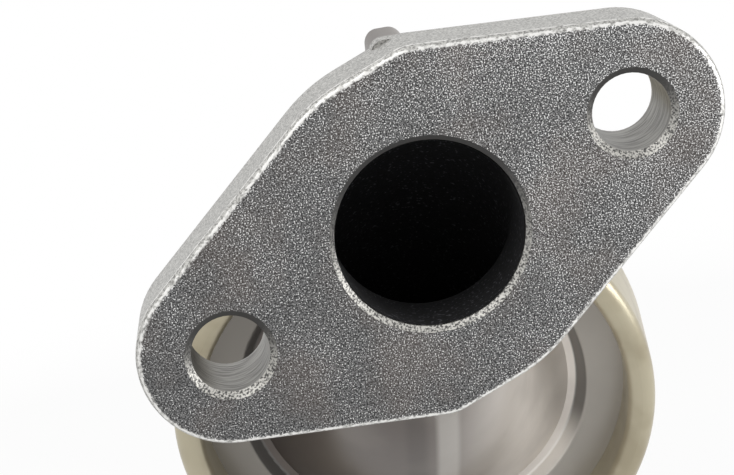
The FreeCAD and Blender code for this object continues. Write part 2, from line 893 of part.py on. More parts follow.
def inlet_can():
    """The steel can. Its front edge is rolled over the casting's plate."""
    back_face = f"{SHOULDER} + can_wall"
    inner_face = f"{CAN_BACK} - can_wall"
    wall_inside = "rim_r - can_wall"
    lip_inside = f"{RIM_INNER_R} + can_wall"
    crest_r = "rim_r - rim_crest"
    body = turned(
        "inlet_can",
        [
            (RIM_INNER_R, "plate_front"),
            (RIM_INNER_R, "rim_crest"),
            (crest_r, "0", "rim_crest", 1),
            ("rim_r", "rim_crest", "rim_crest", 1),
            ("rim_r", back_face),
            ("can_r", back_face),
            ("can_r", CAN_BACK),
            ("bush_r", CAN_BACK),
            ("bush_r", inner_face),
            (CAN_INNER_R, inner_face),
            (CAN_INNER_R, SHOULDER),
            (wall_inside, SHOULDER),
            (wall_inside, "rim_crest"),
            (crest_r, "can_wall", "rim_crest - can_wall", -1),
            (lip_inside, "rim_crest", "rim_crest - can_wall", -1),
            (lip_inside, "plate_front"),
        ],
        [
            ("can_corner", [("can_r", CAN_BACK)]),
            ("can_corner - can_wall", [(CAN_INNER_R, inner_face)]),
            ("can_wall", [("rim_r", back_face)]),
        ],
    )
    sketch = sketch_on(body, "XZ_Plane", "spigot_hole")
    add_circle(sketch, "0", SPIGOT_DEPTH, "spigot_r")
    hole = body.newObject("PartDesign::Pocket", "spigot_opening")
    hole.Profile = sketch
    hole.Type = "Length"
    hole.setExpression("Length", bound("2 * can_r"))
    hole.Reversed = True
    doc.recompute()
    return body


def spigot_placement():
    """The spigot's frame: its Z runs down from the can axis."""
    down = FreeCAD.Rotation(Vector(1, 0, 0), Vector(0, 0, 1), Vector(0, -1, 0), "ZXY")
    return CAN.multiply(FreeCAD.Placement(Vector(0, 0, size(SPIGOT_DEPTH)), down))


def can_core(label, radius):
    """A cylinder on the can axis, as long as the can."""
    core = doc.addObject("Part::Cylinder", label)
    core.setExpression("Radius", bound(radius))
    core.setExpression("Height", bound(CAN_BACK))
    core.Placement = CAN
    return core


def inlet_spigot():
    """The hose spigot with its bead, and the collar that is brazed to the can's wall."""
    inside = "spigot_r - spigot_wall"
    bead_r = "spigot_r + bead_high"
    bead_near = f"{SPIGOT_END} - bead_back - bead_long"
    bead_far = f"{SPIGOT_END} - bead_back"
    place = spigot_placement()
    tube = turned(
        "spigot_tube",
        [
            (inside, "can_r - spigot_r"),
            ("spigot_r", "can_r - spigot_r"),
            ("spigot_r", bead_near),
            (bead_r, f"{bead_near} + bead_high"),
            (bead_r, f"{bead_far} - bead_high"),
            ("spigot_r", bead_far),
            ("spigot_r", SPIGOT_END),
            (inside, SPIGOT_END),
        ],
        place=place,
    )
    foot = turned(
        "spigot_collar",
        [
            (inside, "can_r - spigot_r"),
            ("spigot_r + collar_wide", "can_r - spigot_r"),
            ("spigot_r + collar_wide", "can_r"),
            ("spigot_r + can_wall", "can_r + can_wall"),
            (inside, "can_r + can_wall"),
        ],
        place=place,
    )
    trimmed_tube = cut("spigot_tube_trimmed", tube, can_core("can_room", CAN_INNER_R))
    trimmed_foot = cut("spigot_collar_trimmed", foot, can_core("can_body", "can_r"))
    union = fused("inlet_spigot", [trimmed_tube, trimmed_foot])
    union.Label = "inlet_spigot"
    return union


def guide_bush():
    """The bronze bush that guides the stem. The stem's collar meets its front at full lift."""
    bore = "stem_r + running_gap"
    inner_face = f"{CAN_BACK} - can_wall"
    rear = BUSH_BACK
    return turned(
        "guide_bush",
        [
            (bore, VALVE_STOP),
            ("bush_r", VALVE_STOP),
            ("bush_r", f"{inner_face} - bush_flange"),
            ("bush_flange_r", f"{inner_face} - bush_flange"),
            ("bush_flange_r", inner_face),
            ("bush_r", inner_face),
            ("bush_r", rear),
            ("stem_seal_r", rear),
            ("stem_seal_r", f"{rear} - stem_seal_thick"),
            (bore, f"{rear} - stem_seal_thick"),
        ],
    )


# Vacuum actuator


def actuator_base():
    """The pressed cup behind the can, with its vent slots and the flange for the diaphragm."""
    body = turned(
        "actuator_base",
        [
            ("bush_r", CAN_BACK),
            (BASE_FLOOR_R, CAN_BACK),
            (BASE_CUP_R, BASE_FLANGE),
            (CLAMP_R, BASE_FLANGE),
            (CLAMP_R, BASE_BACK),
            (ROLL_OUTSIDE_R, BASE_BACK),
            (f"{BASE_FLOOR_R} - sheet_wall", f"{CAN_BACK} + sheet_wall"),
            ("bush_r", f"{CAN_BACK} + sheet_wall"),
        ],
    )
    sketch = sketch_on(body, "XZ_Plane", "vent_slot")
    middle = f"{CAN_BACK} + base_cup_long / 2"
    draw_profile(
        sketch,
        [
            ("-vent_wide / 2", f"{middle} - vent_high / 2"),
            ("vent_wide / 2", f"{middle} - vent_high / 2"),
            ("vent_wide / 2", f"{middle} + vent_high / 2"),
            ("-vent_wide / 2", f"{middle} + vent_high / 2"),
        ],
    )
    slot = body.newObject("PartDesign::Pocket", "vent")
    slot.Profile = sketch
    slot.Type = "Length"
    slot.setExpression("Length", bound(CLAMP_R))
    slot.Reversed = True
    doc.recompute()
    polar(body, slot, "vent_count", "vents")
    return body


def diaphragm():
    """The rubber diaphragm: clamped inside and outside, with one half-round roll between."""
    near_in, near_out = "roll_in_r + rubber_thick / 2", "roll_out_r - rubber_thick / 2"
    roll_r = "((roll_out_r - roll_in_r + rubber_thick) / 2)"
    roll_under_r = "((roll_out_r - roll_in_r - rubber_thick) / 2)"
    middle = "(roll_in_r + roll_out_r) / 2"
    return turned(
        "diaphragm",
        [
            ("stem_neck_r", PLATE_RUBBER),
            (near_in, PLATE_RUBBER),
            (near_in, COVER_FRONT),
            (middle, f"{COVER_FRONT} + {roll_under_r}", roll_under_r, -1),
            (near_out, COVER_FRONT, roll_under_r, -1),
            (near_out, BASE_BACK),
            (CLAMP_R, BASE_BACK),
            (CLAMP_R, COVER_FRONT),
            (ROLL_OUTSIDE_R, COVER_FRONT),
            (middle, f"{COVER_FRONT} + {roll_r}", roll_r, 1),
            (ROLL_INSIDE_R, COVER_FRONT, roll_r, 1),
            (ROLL_INSIDE_R, CUP_FACE),
            ("stem_neck_r", CUP_FACE),
        ],
    )


def spring_cup():
    """The rear diaphragm plate, with the rim that centres the return spring."""
    return turned(
        "spring_cup",
        [
            ("stem_neck_r", CUP_FACE),
            (CUP_R, CUP_FACE),
            (CUP_R, f"{CUP_FACE} + cup_rim"),
            (f"{CUP_R} - sheet_wall", f"{CUP_FACE} + cup_rim"),
            (f"{CUP_R} - sheet_wall", CUP_BACK),
            ("stem_neck_r", CUP_BACK),
        ],
    )


def rear_cover():
    """The vacuum cover. Its edge is folded over the diaphragm and the base's flange."""
    hem_inside = f"{CLAMP_R} + plate_clear"
    cover_inner_r = f"{COVER_R} - sheet_wall"
    lip_front = f"{BASE_FLANGE} - sheet_wall"
    return turned(
        "rear_cover",
        [
            ("nipple_r", COVER_INSIDE),
            ("nipple_r", COVER_BACK),
            (COVER_R, COVER_BACK),
            (COVER_R, f"{COVER_FRONT} + sheet_wall"),
            (HEM_R, f"{COVER_FRONT} + sheet_wall"),
            (HEM_R, lip_front),
            (f"{hem_inside} - lip_wide", lip_front),
            (f"{hem_inside} - lip_wide", BASE_FLANGE),
            (hem_inside, BASE_FLANGE),
            (hem_inside, COVER_FRONT),
            (cover_inner_r, COVER_FRONT),
            (cover_inner_r, COVER_INSIDE),
        ],
        [
            ("cover_round", [(COVER_R, COVER_BACK)]),
            ("cover_round - sheet_wall", [(cover_inner_r, COVER_INSIDE)]),
            ("hem_round", [(HEM_R, f"{COVER_FRONT} + sheet_wall"), (HEM_R, lip_front)]),
        ],
    )


def vacuum_nipple():
    """The brazed hose nipple of the vacuum cover, with a barb behind its plain tip."""
    foot = f"{COVER_BACK} + nipple_foot"
    tip = f"{COVER_BACK} + nipple_long"
    barb_end = f"{tip} - barb_back"
    return turned(
        "vacuum_nipple",
        [
            ("nipple_bore_r", COVER_INSIDE),
            ("nipple_r", COVER_INSIDE),
            ("nipple_r", COVER_BACK),
            ("nipple_foot_r", COVER_BACK),
            ("nipple_foot_r", foot),
            ("nipple_r", foot),
            ("nipple_r", f"{barb_end} - barb_long"),
            ("barb_r", f"{barb_end} - barb_long"),
            ("nipple_r", barb_end),
            ("nipple_r", tip),
            ("nipple_bore_r", tip),
        ],
    )


def build_parts():
    """Every separate piece, from the flange to the vacuum nipple."""
    plate_edge = "rim_r - can_wall - plate_clear"
    return [
        outlet_body(),
        valve_seat_ring(),
        check_cage(),
        check_plate(),
        coil_spring(
            "check_spring", CAGE_BACK, CHECK_FRONT, "check_coil_r", "check_wire_r", "check_half_turns"
        ),
        ring("can_gasket", CAN_INNER_R, plate_edge, PLATE_BACK, SHOULDER),
        inlet_can(),
        inlet_spigot(),
        valve_disc(),
        valve_seal(),
        valve_stem(),
        guide_bush(),
        ring("stem_seal", "stem_r + running_gap", "stem_seal_r", f"{BUSH_BACK} - stem_seal_thick", BUSH_BACK),
        actuator_base(),
        ring("diaphragm_plate", "stem_neck_r", PLATE_R, PLATE_FACE, PLATE_RUBBER),
        diaphragm(),
        spring_cup(),
        ring("stem_washer", "stem_neck_r", "washer_r", CUP_BACK, WASHER_BACK),
        stem_nut(),
        coil_spring(
            "return_spring", CUP_BACK, COVER_INSIDE, SPRING_R, "spring_wire_r", "spring_half_turns"
        ),
        rear_cover(),
        vacuum_nipple(),
    ]


def check_document():
    """Stop if an object of the document has failed."""
    for item in doc.Objects:
        if "Invalid" in item.State or "Error" in item.State:
            raise RuntimeError(f"{item.Name} failed: {item.State}")


def export(parts):
    """Write each piece to its own STEP file."""
    os.makedirs("parts", exist_ok=True)
    for part in parts:
        shape = part.Shape
        if shape.isNull() or not shape.isValid() or not shape.Solids:
            raise RuntimeError(f"{part.Label} has no valid solid")
        shape.exportStep(f"parts/{part.Label}.step")
        print(part.Label, len(shape.Solids), round(shape.Volume, 2))


parts = build_parts()
doc.recompute()
check_document()
export(parts)
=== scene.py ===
"""Looks, light and camera for a secondary air valve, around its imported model.

Lengths are in metres. The frame is the valve's own: the origin is the centre of the outlet bore on
the flange face, +Y runs into the flange and +Z is up. Round pieces stand on the can's axis.
"""

import functools
import logging
import math
from dataclasses import dataclass, field
from enum import Enum

import bpy
import numpy as np
from mathutils import Matrix, Vector

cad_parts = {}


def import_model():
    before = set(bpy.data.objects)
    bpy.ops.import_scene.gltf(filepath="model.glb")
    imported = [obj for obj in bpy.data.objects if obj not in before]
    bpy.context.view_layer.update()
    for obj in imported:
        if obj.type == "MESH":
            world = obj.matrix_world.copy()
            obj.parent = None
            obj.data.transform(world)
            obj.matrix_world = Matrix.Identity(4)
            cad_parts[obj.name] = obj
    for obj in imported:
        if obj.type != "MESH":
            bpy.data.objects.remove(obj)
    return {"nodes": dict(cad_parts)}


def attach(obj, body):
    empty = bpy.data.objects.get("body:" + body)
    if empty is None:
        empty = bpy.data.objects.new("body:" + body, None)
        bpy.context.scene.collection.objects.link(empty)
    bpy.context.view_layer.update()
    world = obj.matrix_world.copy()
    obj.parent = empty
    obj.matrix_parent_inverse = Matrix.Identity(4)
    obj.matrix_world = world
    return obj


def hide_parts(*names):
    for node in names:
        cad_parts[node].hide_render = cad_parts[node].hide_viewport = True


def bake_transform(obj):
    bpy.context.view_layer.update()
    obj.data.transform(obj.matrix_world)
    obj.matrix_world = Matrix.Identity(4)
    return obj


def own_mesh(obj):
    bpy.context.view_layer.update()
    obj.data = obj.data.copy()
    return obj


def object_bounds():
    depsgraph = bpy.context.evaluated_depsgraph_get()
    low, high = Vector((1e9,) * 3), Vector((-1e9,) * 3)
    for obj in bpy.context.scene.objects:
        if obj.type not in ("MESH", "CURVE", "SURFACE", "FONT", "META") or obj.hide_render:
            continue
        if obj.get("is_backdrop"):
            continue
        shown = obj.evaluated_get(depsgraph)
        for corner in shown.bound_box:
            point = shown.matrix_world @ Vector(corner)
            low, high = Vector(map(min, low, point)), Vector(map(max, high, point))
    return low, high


LOG = logging.getLogger("secondary_air_valve")
MM = 0.001
BORE_R = 10.75 * MM


class Body(Enum):
    """The rigid bodies that new pieces ride on."""

    HOUSING = "housing"
    SHUT_OFF = "shut_off_valve"


class Slot(Enum):
    """The material slots."""

    CAST = "cast_aluminium"
    MACHINED = "machined_steel"
    SPRING = "spring_steel"
    PLATED = "plated_steel"
    BRONZE = "bronze"
    RUBBER = "black_rubber"
    GASKET = "gasket_sheet"


# Shader graphs


class Graph:
    """A node tree with short calls for the nodes that the finishes need."""

    def __init__(self, tree: bpy.types.NodeTree) -> None:
        """Keeps the tree.

        Args:
            tree: the material's or the group's node tree.
        """
        self.tree = tree

    def node(self, kind: str, **settings: object) -> bpy.types.Node:
        """Adds a node and sets its properties.

        Args:
            kind: the node's type name.
            settings: property names and values.

        Returns:
            The new node.
        """
        made = self.tree.nodes.new(kind)
        for name, value in settings.items():
            setattr(made, name, value)
        return made

    def feed(self, socket: bpy.types.NodeSocket, value: object) -> None:
        """Links a socket to another, or sets its plain value.

        Args:
            socket: the input.
            value: an output socket, a number or a colour.
        """
        if isinstance(value, bpy.types.NodeSocket):
            self.tree.links.new(value, socket)
        else:
            socket.default_value = value

    def math(self, operation: str, first: object, second: object = 0.0) -> bpy.types.NodeSocket:
        """One sum on two numbers.

        Args:
            operation: the Math node's operation.
            first: a socket or a number.
            second: a socket or a number.

        Returns:
            The result's socket.
        """
        made = self.node("ShaderNodeMath", operation=operation)
        self.feed(made.inputs[0], first)
        self.feed(made.inputs[1], second)
        return made.outputs[0]

    def product(self, *values: object) -> bpy.types.NodeSocket:
        """Multiplies numbers.

        Args:
            values: sockets or numbers, at least two.

        Returns:
            The product's socket.
        """
        return functools.reduce(functools.partial(self.math, "MULTIPLY"), values)

    def largest(self, *values: object) -> bpy.types.NodeSocket:
        """Picks the largest of some numbers.

        Args:
            values: sockets or numbers, at least two.

        Returns:
            The largest one's socket.
        """
        return functools.reduce(functools.partial(self.math, "MAXIMUM"), values)

    def length(self, first: object, second: object) -> bpy.types.NodeSocket:
        """The length of a flat vector.

        Args:
            first: a socket or a number.
            second: a socket or a number.

        Returns:
            The length's socket.
        """
        squares = [self.product(value, value) for value in (first, second)]
        return self.math("SQRT", self.math("ADD", *squares))

    def ramp(self, value: object, low: float, high: float) -> bpy.types.NodeSocket:
        """A smooth step: 0 at low, 1 at high, or the other way round when low is the larger.

        Args:
            value: a socket or a number.
            low: where the step is 0.
            high: where the step is 1.

        Returns:
            The step's socket.
        """
        made = self.node("ShaderNodeMapRange", interpolation_type="SMOOTHSTEP")
        ends = (low, high, 0.0, 1.0) if low < high else (high, low, 1.0, 0.0)
        self.feed(made.inputs["Value"], value)
        for name, end in zip(("From Min", "From Max", "To Min", "To Max"), ends):
            made.inputs[name].default_value = end
        return made.outputs[0]

    def band(self, value: object, low: float, high: float, soft: float) -> bpy.types.NodeSocket:
        """1 between two values and 0 outside them, with soft ends.

        Args:
            value: a socket or a number.
            low: where the band starts.
            high: where it ends.
            soft: how long each end takes.

        Returns:
            The band's socket.
        """
        return self.product(self.ramp(value, low, low + soft), self.ramp(value, high, high - soft))

    def mix(self, share: object, first: object, second: object) -> bpy.types.NodeSocket:
        """Mixes two colours.

        Args:
            share: how much of the second colour, 0 to 1.
            first: a socket or a colour.
            second: a socket or a colour.

        Returns:
            The mixed colour's socket.
        """
        made = self.node("ShaderNodeMix", data_type="RGBA")
        self.feed(made.inputs[0], share)
        self.feed(made.inputs[6], first)
        self.feed(made.inputs[7], second)
        return made.outputs[2]

    def blend(self, share: object, first: object, second: object) -> bpy.types.NodeSocket:
        """Mixes two numbers.

        Args:
            share: how much of the second number, 0 to 1.
            first: a socket or a number.
            second: a socket or a number.

        Returns:
            The mixed number's socket.
        """
        made = self.node("ShaderNodeMix", data_type="FLOAT")
        self.feed(made.inputs[0], share)
        self.feed(made.inputs[2], first)
        self.feed(made.inputs[3], second)
        return made.outputs[0]

    def layer(self, share: object, first: object, second: object) -> bpy.types.NodeSocket:
        """Mixes two shaders.

        Args:
            share: how much of the second shader, 0 to 1.
            first: a shader's socket.
            second: a shader's socket.

        Returns:
            The mixed shader's socket.
        """
        made = self.node("ShaderNodeMixShader")
        for socket, value in zip(made.inputs, (share, first, second)):
            self.feed(socket, value)
        return made.outputs[0]

    def place(self) -> bpy.types.NodeSocket:
        """The socket of the point's place in the valve's frame."""
        return self.node("ShaderNodeTexCoord").outputs["Object"]

    def facing(self) -> bpy.types.NodeSocket:
        """The socket of the surface's normal in the valve's frame."""
        return self.node("ShaderNodeTexCoord").outputs["Normal"]

    def axes(self, vector: object) -> bpy.types.NodeOutputs:
        """Splits a vector into its three numbers.

        Args:
            vector: a vector socket.

        Returns:
            The three sockets.
        """
        made = self.node("ShaderNodeSeparateXYZ")
        self.feed(made.inputs[0], vector)
        return made.outputs

    def joined(self, *values: object) -> bpy.types.NodeSocket:
        """Joins three numbers into a vector.

        Args:
            values: three sockets or numbers.

        Returns:
            The vector's socket.
        """
        made = self.node("ShaderNodeCombineXYZ")
        for socket, value in zip(made.inputs, values):
            self.feed(socket, value)
        return made.outputs[0]

    def turned(self, vector: object, centre: Vector, rotation: Matrix) -> bpy.types.NodeSocket:
        """A point's place as seen from a turned frame.

        Args:
            vector: a vector socket in the valve's frame.
            centre: the other frame's origin.
            rotation: the other frame's axes as columns.

        Returns:
            The socket of the point in the other frame.
        """
        made = self.node("ShaderNodeMapping", vector_type="TEXTURE")
        self.feed(made.inputs["Vector"], vector)
        made.inputs["Location"].default_value = centre
        made.inputs["Rotation"].default_value = rotation.to_euler("XYZ")
        return made.outputs[0]

    def noise(self, vector: object, scale: float, detail: float = 2.0) -> bpy.types.NodeSocket:
        """Soft noise between 0 and 1.

        Args:
            vector: a vector socket.
            scale: grains in a metre.
            detail: how many finer layers are added.

        Returns:
            The noise's socket.
        """
        made = self.node("ShaderNodeTexNoise")
        self.feed(made.inputs["Vector"], vector)
        self.feed(made.inputs["Scale"], scale)
        self.feed(made.inputs["Detail"], detail)
        return made.outputs[0]

    def bump(self, height: object, strength: float, depth: float) -> bpy.types.NodeSocket:
        """A normal that follows a height.

        Args:
            height: a height socket.
            strength: how much of the bump shows, 0 to 1.
            depth: the height's real size.

        Returns:
            The normal's socket.
        """
        made = self.node("ShaderNodeBump")
        made.inputs["Strength"].default_value = strength
        made.inputs["Distance"].default_value = depth
        self.feed(made.inputs["Height"], height)
        return made.outputs[0]

    def group(self, tree: bpy.types.NodeTree, **values: object) -> bpy.types.NodeOutputs:
        """Places a shared effect.

        Args:
            tree: the group.
            values: its inputs by name, with _ for a space.

        Returns:
            The group's output sockets.
        """
        made = self.node("ShaderNodeGroup", node_tree=tree)
        for name, value in values.items():
            self.feed(made.inputs[name.replace("_", " ")], value)
        return made.outputs


def rgb(red: float, green: float, blue: float) -> tuple[float, float, float, float]:
    """A colour from its 0 to 255 screen values.

    Args:
        red: the red value.
        green: the green value.
        blue: the blue value.

    Returns:
        The colour as the shaders take it.
    """
    parts = np.array([red, green, blue]) / 255
    low = parts / 12.92
    high = ((parts + 0.055) / 1.055) ** 2.4
    return (*(float(value) for value in np.where(parts <= 0.04045, low, high)), 1.0)


# Shared effects


def new_group(name: str, inputs: dict[str, str], outputs: dict[str, str]) -> tuple[Graph, dict, dict]:
    """An empty shader group with named sockets.

    Args:
        name: the group's name.
        inputs: input names and their kinds.
        outputs: output names and their kinds.

    Returns:
        The group's graph, its inputs by name and its outputs by name.
    """
    tree = bpy.data.node_groups.new(name, "ShaderNodeTree")
    for way, sockets in (("INPUT", inputs), ("OUTPUT", outputs)):
        for label, kind in sockets.items():
            tree.interface.new_socket(name=label, in_out=way, socket_type=f"NodeSocket{kind}")
    graph = Graph(tree)
    entry = graph.node("NodeGroupInput")
    leave = graph.node("NodeGroupOutput")
    given = {label: entry.outputs[label] for label in inputs}
    taken = {label: leave.inputs[label] for label in outputs}
    return graph, given, taken


def blast_group() -> bpy.types.NodeTree:
    """Shot-blasted metal: fine dark craters with small bright specks on their rims, painted glints.

    A soft noise gives the ground, and the peaks of a finer one give the painted glints. A slow noise
    makes them thicker in some places than in others.
    """
    inputs = {"Place": "Vector", "Scale": "Float", "Dark": "Color", "Middle": "Color", "Bright": "Color"}
    inputs["Share"] = "Float"
    graph, given, taken = new_group("blasted_grain", inputs, {"Color": "Color", "Height": "Float"})
    ground = graph.noise(given["Place"], given["Scale"], 1.5)
    finer = graph.product(given["Scale"], 1.25)
    peaks = graph.noise(given["Place"], finer, 0.5)
    slow = graph.noise(given["Place"], 130.0, 2.0)
    lift = graph.product(graph.math("SUBTRACT", slow, 0.5), 0.12)
    raised = graph.math("ADD", graph.math("ADD", peaks, given["Share"]), lift)
    base = graph.mix(graph.ramp(ground, 0.38, 0.62), given["Dark"], given["Middle"])
    graph.feed(taken["Color"], graph.mix(graph.ramp(raised, 0.57, 0.7), base, given["Bright"]))
    graph.feed(taken["Height"], graph.product(graph.math("ADD", ground, peaks), 0.5))
    return graph.tree


def cloud_group() -> bpy.types.NodeTree:
    """Slow changes of tone over a surface, with a second colour where handling has stained it."""
    inputs = {"Place": "Vector", "Scale": "Float", "Color": "Color", "Stain": "Color", "Amount": "Float"}
    graph, given, taken = new_group("handling_stain", inputs, {"Color": "Color", "Mask": "Float"})
    slow = graph.noise(given["Place"], given["Scale"], 3.0)
    mask = graph.product(graph.ramp(slow, 0.42, 0.68), given["Amount"])
    graph.feed(taken["Color"], graph.mix(mask, given["Color"], given["Stain"]))
    graph.feed(taken["Mask"], mask)
    return graph.tree


def turning_group() -> bpy.types.NodeTree:
    """Fine turned or drawn lines round an axis: noise that reads only radius and depth."""
    inputs = {"Place": "Vector", "Across": "Float", "Along": "Float"}
    graph, given, taken = new_group("turned_lines", inputs, {"Height": "Float"})
    x, y, z = graph.axes(given["Place"])
    across = graph.product(graph.length(x, y), given["Across"])
    around = graph.product(graph.math("ARCTAN2", y, x), 0.6)
    lines = graph.joined(across, graph.product(z, given["Along"]), around)
    graph.feed(taken["Height"], graph.noise(lines, 1.0, 2.0))
    return graph.tree


@dataclass
class Effects:
    """The shader groups that several finishes share."""

    blast: bpy.types.NodeTree = field(default_factory=blast_group)
    cloud: bpy.types.NodeTree = field(default_factory=cloud_group)
    turning: bpy.types.NodeTree = field(default_factory=turning_group)


# The can's frame


@dataclass(frozen=True)
class CanFrame:
    """Where the can stands: its axis runs to the rear, its own Y is up."""

    side: float = -1.6 * MM
    back: float = 45.0 * MM
    drop: float = 37.8 * MM
    pitch: float = math.radians(13.8)
    swing: float = math.radians(6.5)

    @property
    def centre(self) -> Vector:
        """The point of the axis at the crest of the rolled rim."""
        return Vector((self.side, self.back, -self.drop))

    @property
    def rotation(self) -> Matrix:
        """The frame's axes as columns: X to the left, Y up, Z to the rear."""
        upright = Matrix(((-1, 0, 0), (0, 0, 1), (0, 1, 0)))
        return Matrix.Rotation(-self.swing, 3, "Z") @ Matrix.Rotation(self.pitch, 3, "X") @ upright

    @property
    def rear(self) -> np.ndarray:
        """The unit vector along the can's axis."""
        return np.array(self.rotation.col[2])

    def at(self, points: np.ndarray) -> np.ndarray:
        """Moves points from the can's frame to the valve's.

        Args:
            points: an array whose last side is X, Y, Z.

        Returns:
            The moved points, in the same shape.
        """
        return points @ np.array(self.rotation).T + np.array(self.centre)


CAN = CanFrame()


# Meshes


def sheet_faces(rows: int, columns: int, wrap_rows: bool, wrap_columns: bool) -> np.ndarray:
    """The four corners of each face of a grid.

    Args:
        rows: how many rows of points.
        columns: how many points in a row.
        wrap_rows: whether the last row joins the first.
        wrap_columns: whether each row closes on itself.

    Returns:
        An array of faces by four corner indices.
    """
    row = np.arange(rows if wrap_rows else rows - 1)[:, None]
    column = np.arange(columns if wrap_columns else columns - 1)[None, :]
    next_row = (row + 1) % rows
    next_column = (column + 1) % columns
    corners = (row * columns + column, row * columns + next_column)
    corners += (next_row * columns + next_column, next_row * columns + column)
    return np.stack([part.ravel() for part in np.broadcast_arrays(*corners)], axis=1)


def surface(
    name: str,
    grid: np.ndarray,
    material: bpy.types.Material,
    wrap_rows: bool = False,
    wrap_columns: bool = False,
) -> bpy.types.Object:
    """Makes a smooth mesh from a grid of points.

    Args:
        name: the piece's name.
        grid: points by row and column, in the valve's frame.
        material: its finish.
        wrap_rows: whether the last row joins the first.
        wrap_columns: whether each row closes on itself.

    Returns:
        The new object, at the origin.
    """
    rows, columns = grid.shape[:2]
    faces = sheet_faces(rows, columns, wrap_rows, wrap_columns)
    mesh = bpy.data.meshes.new(name)
    mesh.from_pydata(grid.reshape(-1, 3), [], faces)
    mesh.validate()
    mesh.shade_smooth()
    mesh.materials.append(material)
    made = bpy.data.objects.new(name, mesh)
    bpy.context.scene.collection.objects.link(made)
    return made


def settle(made: bpy.types.Object, body: Body, slot: Slot, *nodes: str) -> bpy.types.Object:
    """Lets a new piece ride on its body.

    Args:
        made: the piece.
        body: the body it rides on.
        slot: the slot of its finish; not used.
        nodes: the CAD nodes that it stands for.

    Returns:
        The same piece.
    """
    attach(made, body.value)
    if nodes:
        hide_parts(*nodes)
    LOG.info("%s: %d faces on %s", made.name, len(made.data.polygons), body.value)
    return made


def dress(nodes: dict[str, bpy.types.Object], names: tuple[str, ...], material: bpy.types.Material) -> None:
    """Gives CAD nodes a finish.

    Args:
        nodes: the frame's nodes by name.
        names: which of them.
        material: the finish.
    """
    for name in names:
        slots = nodes[name].material_slots
        for one in slots:
            one.material = material
        if not slots:
            nodes[name].data.materials.append(material)
        LOG.info("%s: finish %s", name, material.name)


def turn_outline(across: np.ndarray, along: np.ndarray, angle: np.ndarray) -> np.ndarray:
    """Turns an outline about the can's axis.

    A point of the outline at radius r and depth z becomes (r cos a, r sin a, z) for each angle a.

    Args:
        across: the outline's radii.
        along: the outline's depths.
        angle: the angles.

    Returns:
        A grid of angle by outline point, in the valve's frame.
    """
    turn = angle[:, None]
    grid = np.broadcast_arrays(across * np.cos(turn), across * np.sin(turn), along + 0 * turn)
    return CAN.at(np.stack(grid, axis=-1))


def coil(radius: float, wire: float, start: float, end: float, turns: float, closed: float) -> np.ndarray:
    """A compression spring with closed end turns.

    The wire's middle is (R cos a, R sin a, h). Its height h grows by one wire thickness in each end
    turn and by a smooth step over the free turns between them. The wire's skin is a circle about it,
    in the plane of the radius and the direction at right angles to the wire.

    Args:
        radius: the coil's middle radius.
        wire: the wire's radius.
        start: depth of the coil's front.
        end: depth of the coil's rear.
        turns: how many free turns.
        closed: how many closed turns at each end.

    Returns:
        A grid along and round the wire, in the valve's frame.
    """
    total = turns + 2 * closed
    share = np.linspace(0, 1, int(total * 48))
    turn = share * total
    closed_rise = 2 * wire * (np.clip(turn, 0, closed) + np.clip(turn - closed - turns, 0, closed))
    free = np.clip((turn - closed) / turns, 0, 1)
    ease = 0.08
    eased = np.clip(free, 0, 1) + ease * np.sin(2 * np.pi * free) / (-2 * np.pi)
    height = start + wire + closed_rise + eased * (end - start - 2 * wire - 4 * wire * closed)
    angle = 2 * np.pi * turn
    middle = np.stack([radius * np.cos(angle), radius * np.sin(angle), height], axis=-1)
    along = np.gradient(middle, axis=0)
    along /= np.linalg.norm(along, axis=1, keepdims=True)
    outward = np.stack([np.cos(angle), np.sin(angle), 0 * angle], axis=-1)
    side = np.cross(along, outward)
    around = np.linspace(0, 2 * np.pi, 14, endpoint=False)
    taper = np.sqrt(np.clip(np.minimum(share, 1 - share) * total * 40, 0.02, 1))[:, None, None]
    ring = np.cos(around)[None, :, None] * outward[:, None] + np.sin(around)[None, :, None] * side[:, None]
    return CAN.at(middle[:, None] + ring * wire * taper)


# Finishes


def new_material(name: str) -> tuple[bpy.types.Material, Graph, bpy.types.Node]:
    """A material with its graph and its shader.

    Args:
        name: the material's name.

    Returns:
        The material, its graph and its Principled BSDF.
    """
    material = bpy.data.materials.new(name)
    material.use_nodes = True
    graph = Graph(material.node_tree)
    return material, graph, material.node_tree.nodes["Principled BSDF"]


